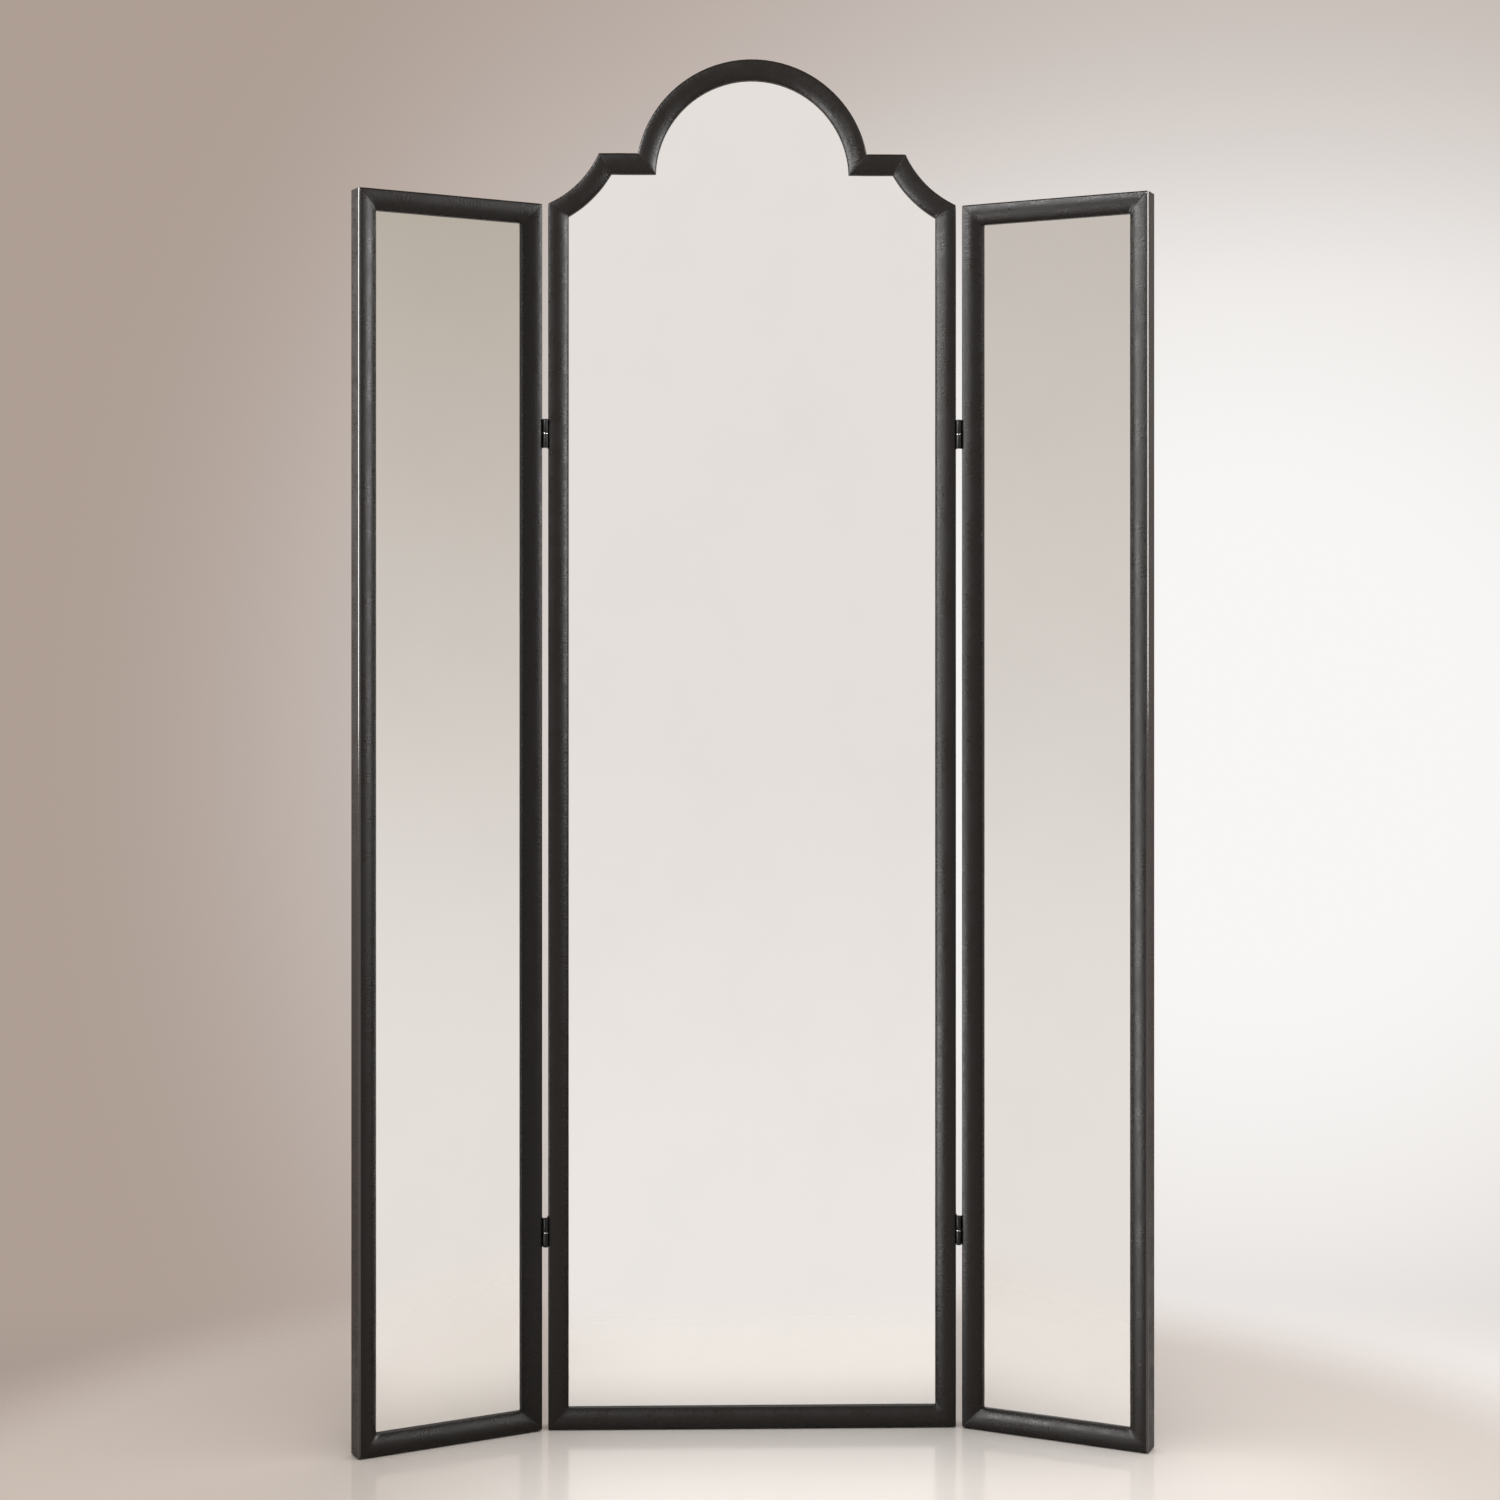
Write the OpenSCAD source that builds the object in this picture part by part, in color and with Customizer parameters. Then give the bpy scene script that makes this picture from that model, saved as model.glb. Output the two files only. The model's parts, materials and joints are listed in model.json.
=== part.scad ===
// Three-panel mirrored room divider. Each panel is a mitred timber frame wrapped in leather.
// It stands on the floor with its mirrors facing -Y, and the wings fold forward on lift-off hinges.

/* [Screen] */
// Overall height, from the floor to the top of the arch
total_h = 1900; // [1700:10:2100]
// Thickness of each panel, front to back
panel_t = 32; // [29:1:40]
// Gap between the panels' edges when they stand in line
panel_gap = 6.6; // [6:0.2:9]
// Angle of each wing, forward of the centre panel
wing_angle = 27; // [0:1:60]

/* [Centre panel] */
// Width of the centre panel
centre_w = 566; // [500:2:700]
// Radius of the arch at its outer edge
arch_r = 162; // [150:1:185]
// Drop from the top of the arch to the shoulders
shoulder_drop = 131; // [120:1:145]
// How far each cove bites into the corner, both ways
corner_cut = 70; // [60:1:80]
// How far a cove's centre lies outside the panel's corner, both ways
cove_offset = 55; // [40:1:70]

/* [Wings] */
// Width of each wing
wing_w = 267; // [200:1:350]
// How far the wings stop below the centre panel's ears
wing_step = 1; // [0:1:20]

/* [Moulding] */
// Width of the moulding's face, from its outer edge to the sight edge
sight_w = 28; // [26:1:34]
// Radius of the moulding's outer edges
edge_r = 2.5; // [2:0.25:4]
// Width of the flat crown, before the face rolls down to the mirror
crown_w = 7; // [5:1:10]
// Depth of the mirror's face behind the crown
mirror_set = 13.5; // [11:0.5:15]
// Height of the upright lip over the mirror
lip_h = 4; // [2:0.25:5]
// Width of the rabbet that holds the mirror
rabbet_w = 8; // [7:0.5:10]
// Lap of the back board onto the timber
board_lap = 10; // [9:0.5:11]

/* [Leather] */
// Thickness of the leather
leather_t = 1.2; // [0.8:0.1:1.6]
// Thickness of the glue under the leather
glue_t = 0.1; // [0.05:0.05:0.2]
// How far the leather turned onto the back stops short of the back board's recess
turn_short = 1; // [0:0.5:4]
// Width of leather turned under the lip
lip_turn = 6; // [4:0.5:7]

/* [Mirrors and backs] */
// Thickness of the mirror glass
glass_t = 4; // [3:0.5:5]
// Room between the glass and the side of its rabbet
glass_gap = 1; // [0.5:0.25:2]
// Width of the foam strip that presses on the glass
foam_w = 7; // [5:0.5:12]
// Thickness of the back boards
board_t = 5; // [3:0.5:6]
// How far the back boards lie below the back of the frame
board_set = 0.5; // [0:0.25:1]
// Room between a back board and the side of its recess
board_gap = 0.5; // [0.25:0.25:1]
// Distance of the back-board screws from the board's edge
board_screw_edge = 4.5; // [3.5:0.25:5.5]
// Greatest spacing of the back-board screws
board_screw_pitch = 210; // [120:10:300]
// Distance of the end screws from a frame's corners
board_screw_end = 70; // [60:1:100]
// Length of a back-board screw
board_screw_l = 16; // [12:1:18]

/* [Joints] */
// Length of the biscuit in each mitre
biscuit_l = 16; // [12:1:18]
// Width of the biscuit
biscuit_w = 9; // [7:0.5:10]
// Thickness of the biscuit
biscuit_t = 3; // [2:0.5:4]
// Depth of a biscuit's middle, from the back
biscuit_z = 12; // [11:0.5:13]
// Room round a biscuit in its slot
slot_gap = 0.1; // [0.05:0.05:0.2]

/* [Hinges] */
// Height of the lower hinges' middle
hinge_low_z = 275; // [150:5:400]
// Height of the upper hinges' middle
hinge_high_z = 1380; // [1100:5:1500]
// Length of a hinge
hinge_l = 40; // [30:1:60]
// Thickness of a hinge leaf
leaf_t = 1.6; // [1.2:0.1:2]
// Width of a leaf, from the hinge's axis
leaf_w = 16; // [14:1:17]
// Diameter of the hinge pin
pin_d = 4; // [3:0.25:5]
// How far the hinge axis lies in front of the panels
axis_proud = 1.5; // [1:0.25:3]
// Radial room between the pin and the wing's knuckle
pin_play = 0.05; // [0.02:0.01:0.08]
// Thickness of the washer between the knuckles
washer_t = 0.8; // [0.5:0.1:1.5]
// Room between the washer and the wing's knuckle
washer_play = 0.1; // [0.05:0.05:0.3]
// Room between a leaf and the leather under it
leaf_bed = 0.05; // [0:0.05:0.2]
// Distance of the leaf screws from the hinge's axis
leaf_screw_in = 10; // [9:0.5:10.5]
// Distance of the leaf screws from the hinge's middle
leaf_screw_z = 12; // [9:0.5:13]
// Length of a leaf screw
leaf_screw_l = 14; // [10:1:16]

/* [Screws and glides] */
// Diameter of a screw's shank
shank_d = 3; // [2.5:0.25:3.5]
// Diameter of a screw's head
head_d = 5.8; // [5:0.2:6.4]
// Room round a screw in its hole
screw_gap = 0.05; // [0.02:0.01:0.1]
// Thickness of a floor glide
glide_t = 1.5; // [1:0.5:4]
// Diameter of a floor glide
glide_d = 16; // [12:1:20]
// Distance of the end glides from a panel's corners
glide_end = 43; // [30:1:60]
// Length of a glide's nail above the glide
nail_l = 10; // [8:1:12]
// Diameter of a glide's nail
nail_d = 2; // [1.5:0.25:2.5]

/* [Hidden] */
$fn = 96;

timber_colour = [0.62, 0.47, 0.31];
leather_colour = [0.17, 0.16, 0.155];
mirror_colour = [0.80, 0.85, 0.87];
foam_colour = [0.30, 0.30, 0.31];
board_colour = [0.11, 0.105, 0.10];
steel_colour = [0.62, 0.62, 0.60];
hinge_colour = [0.07, 0.07, 0.07];
glide_colour = [0.20, 0.19, 0.18];

// A plan is drawn with X across a panel, Y up from its bottom edge and Z from its back to its front.
panel_h = total_h - glide_t;
half_w = centre_w / 2;
shoulder_y = panel_h - shoulder_drop;
ear_y = shoulder_y - corner_cut;
arch_y = panel_h - arch_r;
arch_rise = shoulder_y - arch_y;
cove_x = half_w + cove_offset;
cove_y = shoulder_y + cove_offset;
cove_r = sqrt(pow(cove_offset, 2) + pow(cove_offset + corner_cut, 2));
wing_h = ear_y - wing_step;

mirror_z = panel_t - mirror_set;
roll_drop = mirror_set - lip_h;
roll_w = sight_w - crown_w;
roll_r = (pow(roll_w, 2) + pow(roll_drop, 2)) / (2 * roll_drop);
rabbet_in = sight_w - rabbet_w;
recess_in = rabbet_in - board_lap;
skin_t = leather_t + glue_t;
board_top = board_set + board_t;
back_turn = recess_in - turn_short;
screw_line = recess_in + board_gap + board_screw_edge;
biscuit_in = (skin_t + rabbet_in) / 2;
glass_back = mirror_z - glass_t;
over = 1;

barrel_r = pin_d / 2 + leaf_t;
half_gap = panel_gap / 2;
axis_x = half_w + half_gap;
axis_y = -(panel_t / 2 + axis_proud);
leaf_back_x = leaf_bed - half_gap;
leaf_top_x = leaf_back_x + leaf_t;
head_h = (head_d - shank_d) / 2;
knuckle_play = 0.4;

// Where an edge of the plan, set in by a distance, meets the next one
function arch_corner(inset) =
  [sqrt(pow(arch_r - inset, 2) - pow(arch_rise - inset, 2)), shoulder_y - inset];
function cove_reach(inset) = sqrt(pow(cove_r + inset, 2) - pow(cove_offset + inset, 2));
function cove_corner(inset) = [cove_x - cove_reach(inset), shoulder_y - inset];
function ear_corner(inset) = [half_w - inset, cove_y - cove_reach(inset)];
function foot_corner(inset) = [half_w - inset, inset];

// Each mitre is a pair of points: its outer corner and its inner corner
centre_mitres = [
  [foot_corner(0), foot_corner(sight_w)],
  [ear_corner(0), ear_corner(sight_w)],
  [cove_corner(0), cove_corner(sight_w)],
  [arch_corner(0), arch_corner(sight_w)]
];
wing_mitres = [
  [[0, 0], [sight_w, sight_w]],
  [[wing_w, 0], [wing_w - sight_w, sight_w]],
  [[wing_w, wing_h], [wing_w - sight_w, wing_h - sight_w]],
  [[0, wing_h], [sight_w, wing_h - sight_w]]
];

// Even places from one value to another, no further apart than the pitch
function places(from, to, pitch) =
  let (spans = max(1, ceil((to - from) / pitch)))
  [for (i = [0:spans]) from + (to - from) * i / spans];

shoulder_screw_x = (cove_corner(screw_line)[0] + arch_corner(screw_line)[0]) / 2;
arch_screw_angles = [35, 90, 145];
centre_screws = concat(
  [for (side = [-1, 1], y = places(board_screw_end, ear_y - board_screw_end, board_screw_pitch))
    [side * (half_w - screw_line), y]],
  [for (x = places(board_screw_end - half_w, half_w - board_screw_end, board_screw_pitch))
    [x, screw_line]],
  [for (side = [-1, 1]) [side * shoulder_screw_x, shoulder_y - screw_line]],
  [for (a = arch_screw_angles)
    [0, arch_y] + (arch_r - screw_line) * [cos(a), sin(a)]]
);
wing_screws = concat(
  [for (x = [screw_line, wing_w - screw_line],
    y = places(board_screw_end, wing_h - board_screw_end, board_screw_pitch)) [x, y]],
  [for (y = [screw_line, wing_h - screw_line]) [wing_w / 2, y]]
);
centre_glide_x = [glide_end - half_w, 0, half_w - glide_end];
wing_glide_x = [glide_end, wing_w - glide_end];
hinge_z = [hinge_low_z, hinge_high_z];

// Placing: a plan stood up as the centre panel, and as a wing on its hinge axis

module stand() {
  translate([0, panel_t / 2, glide_t]) rotate([90, 0, 0]) children();
}

module on_side(side) {
  mirror([side < 0 ? 1 : 0, 0, 0]) children();
}

module at_axis(side) {
  on_side(side) translate([axis_x, axis_y, 0]) children();
}

module wing_plan(side) {
  at_axis(side) rotate([0, 0, -wing_angle]) translate([half_gap, -axis_y, 0]) stand() children();
}

// Sections of the moulding: X is the distance in from the outer edge, Y the height from the back

module blank_section(inset) {
  roll_y = panel_t - roll_r;
  translate([inset, edge_r]) square([edge_r, panel_t - 2 * edge_r]);
  translate([edge_r, inset]) square([crown_w - edge_r, panel_t - 2 * inset]);
  translate([crown_w, inset]) square([sight_w - inset - crown_w, mirror_z + lip_h / 2 - inset]);
  for (y = [edge_r, panel_t - edge_r]) translate([edge_r, y]) circle(r = edge_r - inset);
  intersection() {
    translate([crown_w, roll_y]) circle(r = roll_r - inset);
    translate([crown_w - over, mirror_z]) square([roll_w + over - inset, mirror_set + over]);
  }
}

module timber_section() {
  difference() {
    blank_section(skin_t);
    translate([rabbet_in, -over]) square([rabbet_w + over, mirror_z + skin_t + over]);
    translate([recess_in, -over]) square([board_lap + over, board_top + over]);
  }
}

module leather_section() {
  difference() {
    blank_section(0);
    blank_section(leather_t);
    translate([back_turn, -over]) square([sight_w, mirror_z + over]);
  }
  translate([sight_w - lip_turn, mirror_z]) square([lip_turn - leather_t / 2, leather_t]);
}

// A straight member along +X with its outer edge on the X axis. Each end is cut along a mitre
// that steps in by its own distance over the width of the moulding. The cutting shapes run past
// both edges of the moulding by a share of that width.
module straight_member(length, step_a, step_b) {
  extra = 0.2;
  intersection() {
    translate([-sight_w, 0, 0]) rotate([90, 0, 90]) linear_extrude(length + 2 * sight_w) children();
    translate([0, 0, -over]) linear_extrude(panel_t + 2 * over) polygon([
      [-step_a * extra, -sight_w * extra],
      [length + step_b * extra, -sight_w * extra],
      [length - step_b * (1 + extra), sight_w * (1 + extra)],
      [step_a * (1 + extra), sight_w * (1 + extra)]
    ]);
  }
}

module centre_stile_member() {
  ear = ear_corner(sight_w);
  translate([half_w, 0, 0]) rotate(90) straight_member(ear_y, sight_w, ear_y - ear[1]) children();
}

module bottom_rail_member() {
  translate([-half_w, 0, 0]) straight_member(centre_w, sight_w, sight_w) children();
}

module shoulder_member() {
  from = cove_corner(0);
  to = arch_corner(0);
  translate(from) rotate(180)
    straight_member(from[0] - to[0], from[0] - cove_corner(sight_w)[0],
      arch_corner(sight_w)[0] - to[0]) children();
}

module cove_member() {
  ear = centre_mitres[1];
  neck = centre_mitres[2];
  extra = 0.6;
  intersection() {
    translate([cove_x, cove_y, 0]) rotate_extrude() translate([cove_r, 0]) children();
    translate([0, 0, -over]) linear_extrude(panel_t + 2 * over) polygon([
      ear[0] + (ear[0] - ear[1]) * extra,
      ear[1] + (ear[1] - ear[0]) * extra,
      neck[1] + (neck[1] - neck[0]) * extra,
      neck[0] + (neck[0] - neck[1]) * extra
    ]);
  }
}

module arch_member() {
  outer = arch_corner(0);
  inner = arch_corner(sight_w);
  slope = (outer[1] - inner[1]) / (outer[0] - inner[0]);
  reach = arch_r + sight_w;
  foot = inner + (inner - outer) * 0.2;
  intersection() {
    translate([0, arch_y, 0]) rotate_extrude() translate([arch_r, 0]) mirror([1, 0]) children();
    translate([0, 0, -over]) linear_extrude(panel_t + 2 * over) polygon([
      foot,
      [reach, inner[1] + (reach - inner[0]) * slope],
      [reach, panel_h + sight_w],
      [-reach, panel_h + sight_w],
      [-reach, inner[1] + (reach - inner[0]) * slope],
      [-foot[0], foot[1]]
    ]);
  }
}

// A wing's members run round it: 0 the bottom rail, 1 the outer stile, 2 the top rail and
// 3 the hinge stile
module wing_member(index) {
  length = index % 2 == 0 ? wing_w : wing_h;
  translate(wing_mitres[index][0]) rotate(90 * index)
    straight_member(length, sight_w, sight_w) children();
}

// Plan outlines, set in from the outer edge

module centre_outline(inset) {
  difference() {
    translate([inset - half_w, inset])
      square([centre_w - 2 * inset, shoulder_y - 2 * inset]);
    for (side = [-1, 1]) translate([side * cove_x, cove_y]) circle(r = cove_r + inset);
  }
  intersection() {
    translate([0, arch_y]) circle(r = arch_r - inset);
    translate([-arch_r, shoulder_y - sight_w - inset])
      square([2 * arch_r, shoulder_drop + sight_w]);
  }
}

module wing_outline(inset) {
  translate([inset, inset]) square([wing_w - 2 * inset, wing_h - 2 * inset]);
}

// Small parts, each drawn at its own origin

module biscuit(room) {
  bow = (pow(biscuit_l, 2) + pow(biscuit_w, 2)) / (4 * biscuit_w);
  translate([0, 0, -biscuit_t / 2 - room]) linear_extrude(biscuit_t + 2 * room) intersection() {
    translate([0, bow - biscuit_w / 2]) circle(r = bow + room);
    translate([0, biscuit_w / 2 - bow]) circle(r = bow + room);
  }
}

module biscuits(mitres, room) {
  for (mitre = mitres) {
    run = mitre[1] - mitre[0];
    middle = mitre[0] + run * biscuit_in / sight_w;
    translate([middle[0], middle[1], biscuit_z]) rotate(atan2(run[1], run[0])) biscuit(room);
  }
}

// A countersunk wood screw along +Z, with the top of its head at zero
module screw_shape(length, room) {
  tip_h = shank_d;
  rotate_extrude() polygon([
    [0, 0],
    [head_d / 2 + room, 0],
    [shank_d / 2 + room, head_h],
    [shank_d / 2 + room, length - tip_h],
    [0, length + room]
  ]);
}

module wood_screw(length) {
  slot_w = head_d * 0.16;
  slot_l = head_d * 0.62;
  slot_h = head_h * 0.8;
  difference() {
    screw_shape(length, 0);
    for (turn = [0, 90]) rotate(turn)
      translate([-slot_l / 2, -slot_w / 2, -over]) cube([slot_l, slot_w, slot_h + over]);
  }
}

module glide() {
  translate([0, 0, -glide_t]) cylinder(d = glide_d, h = glide_t);
  cylinder(d = nail_d, h = nail_l);
}

// A hinge leaf with its axis on Z and its plate on the -X side. Its knuckle is the lower one.
module hinge_leaf(bore_r) {
  knuckle_l = hinge_l / 2 - washer_t / 2;
  difference() {
    union() {
      translate([leaf_back_x, 0, -hinge_l / 2]) cube([leaf_t, leaf_w, hinge_l]);
      translate([0, 0, -hinge_l / 2]) cylinder(r = barrel_r, h = knuckle_l);
    }
    translate([leaf_back_x - over, -over, -washer_t / 2])
      cube([leaf_t + 2 * over, barrel_r + knuckle_play + over, hinge_l]);
    translate([0, 0, -hinge_l / 2 - over]) cylinder(r = bore_r, h = hinge_l);
    leaf_screws(screw_gap);
  }
}

module leaf_screw_places() {
  for (side = [-1, 1]) translate([leaf_top_x, leaf_screw_in, side * leaf_screw_z])
    rotate([0, -90, 0]) children();
}

module leaf_screws(room) {
  leaf_screw_places() screw_shape(leaf_screw_l, room);
}

// The wing's leaf is the same leaf turned over onto the far side of the axis
module turn_leaf_over() {
  rotate([0, 180, 0]) children();
}

module on_wing_leaves(side) {
  at_axis(side) rotate([0, 0, -wing_angle]) for (z = hinge_z) translate([0, 0, z])
    turn_leaf_over() children();
}

module on_centre_leaves(side) {
  at_axis(side) for (z = hinge_z) translate([0, 0, z]) children();
}

// What is cut out of the timber and the leather, in each plan

module board_screw_shapes(points, room) {
  for (p = points) translate([p[0], p[1], board_set]) screw_shape(board_screw_l, room);
}

module nail_holes(places_x) {
  for (x = places_x) translate([x, -over, panel_t / 2]) rotate([-90, 0, 0])
    cylinder(d = nail_d + 2 * screw_gap, h = nail_l + over + screw_gap);
}

module both_sides() {
  children();
  mirror([1, 0, 0]) children();
}

module centre_timber_cuts() {
  both_sides() biscuits(centre_mitres, slot_gap);
  board_screw_shapes(centre_screws, screw_gap);
  nail_holes(centre_glide_x);
}

module wing_timber_cuts() {
  biscuits(wing_mitres, slot_gap);
  board_screw_shapes(wing_screws, screw_gap);
  nail_holes(wing_glide_x);
}

// A centre member and the room for the hinge screws that enter it
module centre_timber() {
  color(timber_colour) difference() {
    stand() difference() {
      children();
      centre_timber_cuts();
    }
    for (side = [-1, 1]) on_centre_leaves(side) leaf_screws(screw_gap);
  }
}

module centre_leather() {
  color(leather_colour) difference() {
    stand() difference() {
      children();
      nail_holes(centre_glide_x);
    }
    for (side = [-1, 1]) on_centre_leaves(side) leaf_screws(screw_gap);
  }
}

module wing_timber(side, index) {
  color(timber_colour) difference() {
    wing_plan(side) difference() {
      wing_member(index) timber_section();
      wing_timber_cuts();
    }
    if (index == 3) on_wing_leaves(side) leaf_screws(screw_gap);
  }
}

module wing_leather(side, index) {
  color(leather_colour) difference() {
    wing_plan(side) difference() {
      wing_member(index) leather_section();
      if (index == 0) nail_holes(wing_glide_x);
    }
    if (index == 3) on_wing_leaves(side) leaf_screws(screw_gap);
  }
}

// Centre panel: timber

module centre_left_stile() { centre_timber() mirror([1, 0, 0]) centre_stile_member() timber_section(); }
module centre_right_stile() { centre_timber() centre_stile_member() timber_section(); }
module centre_bottom_rail() { centre_timber() bottom_rail_member() timber_section(); }
module left_cove() { centre_timber() mirror([1, 0, 0]) cove_member() timber_section(); }
module right_cove() { centre_timber() cove_member() timber_section(); }
module left_shoulder() { centre_timber() mirror([1, 0, 0]) shoulder_member() timber_section(); }
module right_shoulder() { centre_timber() shoulder_member() timber_section(); }
module arch() { centre_timber() arch_member() timber_section(); }

// Centre panel: leather

module centre_left_stile_leather() {
  centre_leather() mirror([1, 0, 0]) centre_stile_member() leather_section();
}
module centre_right_stile_leather() { centre_leather() centre_stile_member() leather_section(); }
module centre_bottom_rail_leather() { centre_leather() bottom_rail_member() leather_section(); }
module left_cove_leather() { centre_leather() mirror([1, 0, 0]) cove_member() leather_section(); }
module right_cove_leather() { centre_leather() cove_member() leather_section(); }
module left_shoulder_leather() {
  centre_leather() mirror([1, 0, 0]) shoulder_member() leather_section();
}
module right_shoulder_leather() { centre_leather() shoulder_member() leather_section(); }
module arch_leather() { centre_leather() arch_member() leather_section(); }

// Centre panel: mirror, back and fixings

module centre_mirror() {
  color(mirror_colour) stand() translate([0, 0, glass_back])
    linear_extrude(glass_t) centre_outline(rabbet_in + glass_gap);
}

module centre_foam_strip() {
  color(foam_colour) stand() translate([0, 0, board_top])
    linear_extrude(glass_back - board_top) difference() {
      centre_outline(rabbet_in + glass_gap);
      centre_outline(rabbet_in + glass_gap + foam_w);
    }
}

module centre_back_board() {
  color(board_colour) stand() difference() {
    translate([0, 0, board_set]) linear_extrude(board_t) centre_outline(recess_in + board_gap);
    board_screw_shapes(centre_screws, screw_gap);
  }
}

module centre_board_screws() {
  color(hinge_colour) stand() for (p = centre_screws) translate([p[0], p[1], board_set])
    wood_screw(board_screw_l);
}

module centre_biscuits() {
  color(timber_colour) stand() both_sides() biscuits(centre_mitres, 0);
}

module centre_glides() {
  color(glide_colour) for (x = centre_glide_x) translate([x, 0, glide_t]) glide();
}

// Hinges on the centre panel

module left_pin_leaves() { color(hinge_colour) on_centre_leaves(-1) hinge_leaf(pin_d / 2); }
module right_pin_leaves() { color(hinge_colour) on_centre_leaves(1) hinge_leaf(pin_d / 2); }

module hinge_pins() {
  color(steel_colour) for (side = [-1, 1]) on_centre_leaves(side)
    translate([0, 0, -hinge_l / 2]) cylinder(d = pin_d, h = hinge_l - leaf_t);
}

module hinge_washers() {
  color(steel_colour) for (side = [-1, 1]) on_centre_leaves(side)
    translate([0, 0, -washer_t / 2]) difference() {
      cylinder(r = barrel_r, h = washer_t - washer_play);
      translate([0, 0, -over]) cylinder(r = pin_d / 2 + pin_play, h = washer_t + 2 * over);
    }
}

module centre_hinge_screws() {
  color(hinge_colour) for (side = [-1, 1]) on_centre_leaves(side)
    leaf_screw_places() wood_screw(leaf_screw_l);
}

// Wings

module wing_mirror(side) {
  color(mirror_colour) wing_plan(side) translate([0, 0, glass_back])
    linear_extrude(glass_t) wing_outline(rabbet_in + glass_gap);
}

module wing_foam_strip(side) {
  color(foam_colour) wing_plan(side) translate([0, 0, board_top])
    linear_extrude(glass_back - board_top) difference() {
      wing_outline(rabbet_in + glass_gap);
      wing_outline(rabbet_in + glass_gap + foam_w);
    }
}

module wing_back_board(side) {
  color(board_colour) wing_plan(side) difference() {
    translate([0, 0, board_set]) linear_extrude(board_t) wing_outline(recess_in + board_gap);
    board_screw_shapes(wing_screws, screw_gap);
  }
}

module wing_board_screws(side) {
  color(hinge_colour) wing_plan(side) for (p = wing_screws) translate([p[0], p[1], board_set])
    wood_screw(board_screw_l);
}

module wing_biscuits(side) {
  color(timber_colour) wing_plan(side) biscuits(wing_mitres, 0);
}

module wing_glides(side) {
  color(glide_colour) wing_plan(side) for (x = wing_glide_x) translate([x, 0, panel_t / 2])
    rotate([-90, 0, 0]) glide();
}

module wing_hinge_leaves(side) {
  color(hinge_colour) on_wing_leaves(side) hinge_leaf(pin_d / 2 + pin_play);
}

module wing_hinge_screws(side) {
  color(hinge_colour) on_wing_leaves(side) leaf_screw_places() wood_screw(leaf_screw_l);
}

module left_wing_bottom_rail() { wing_timber(-1, 0); }
module left_wing_outer_stile() { wing_timber(-1, 1); }
module left_wing_top_rail() { wing_timber(-1, 2); }
module left_wing_hinge_stile() { wing_timber(-1, 3); }
module left_wing_bottom_rail_leather() { wing_leather(-1, 0); }
module left_wing_outer_stile_leather() { wing_leather(-1, 1); }
module left_wing_top_rail_leather() { wing_leather(-1, 2); }
module left_wing_hinge_stile_leather() { wing_leather(-1, 3); }
module left_wing_mirror() { wing_mirror(-1); }
module left_wing_foam_strip() { wing_foam_strip(-1); }
module left_wing_back_board() { wing_back_board(-1); }
module left_wing_board_screws() { wing_board_screws(-1); }
module left_wing_biscuits() { wing_biscuits(-1); }
module left_wing_glides() { wing_glides(-1); }
module left_wing_hinge_leaves() { wing_hinge_leaves(-1); }
module left_wing_hinge_screws() { wing_hinge_screws(-1); }

module right_wing_bottom_rail() { wing_timber(1, 0); }
module right_wing_outer_stile() { wing_timber(1, 1); }
module right_wing_top_rail() { wing_timber(1, 2); }
module right_wing_hinge_stile() { wing_timber(1, 3); }
module right_wing_bottom_rail_leather() { wing_leather(1, 0); }
module right_wing_outer_stile_leather() { wing_leather(1, 1); }
module right_wing_top_rail_leather() { wing_leather(1, 2); }
module right_wing_hinge_stile_leather() { wing_leather(1, 3); }
module right_wing_mirror() { wing_mirror(1); }
module right_wing_foam_strip() { wing_foam_strip(1); }
module right_wing_back_board() { wing_back_board(1); }
module right_wing_board_screws() { wing_board_screws(1); }
module right_wing_biscuits() { wing_biscuits(1); }
module right_wing_glides() { wing_glides(1); }
module right_wing_hinge_leaves() { wing_hinge_leaves(1); }
module right_wing_hinge_screws() { wing_hinge_screws(1); }

centre_left_stile();
centre_right_stile();
centre_bottom_rail();
left_cove();
right_cove();
left_shoulder();
right_shoulder();
arch();
centre_left_stile_leather();
centre_right_stile_leather();
centre_bottom_rail_leather();
left_cove_leather();
right_cove_leather();
left_shoulder_leather();
right_shoulder_leather();
arch_leather();
centre_mirror();
centre_foam_strip();
centre_back_board();
centre_board_screws();
centre_biscuits();
centre_glides();
left_pin_leaves();
right_pin_leaves();
hinge_pins();
hinge_washers();
centre_hinge_screws();
left_wing_hinge_stile();
left_wing_outer_stile();
left_wing_top_rail();
left_wing_bottom_rail();
left_wing_hinge_stile_leather();
left_wing_outer_stile_leather();
left_wing_top_rail_leather();
left_wing_bottom_rail_leather();
left_wing_mirror();
left_wing_foam_strip();
left_wing_back_board();
left_wing_board_screws();
left_wing_biscuits();
left_wing_glides();
left_wing_hinge_leaves();
left_wing_hinge_screws();
right_wing_hinge_stile();
right_wing_outer_stile();
right_wing_top_rail();
right_wing_bottom_rail();
right_wing_hinge_stile_leather();
right_wing_outer_stile_leather();
right_wing_top_rail_leather();
right_wing_bottom_rail_leather();
right_wing_mirror();
right_wing_foam_strip();
right_wing_back_board();
right_wing_board_screws();
right_wing_biscuits();
right_wing_glides();
right_wing_hinge_leaves();
right_wing_hinge_screws();
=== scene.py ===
import json
import math

import bmesh
import bpy
import numpy as np
from mathutils import Matrix, Vector


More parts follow.
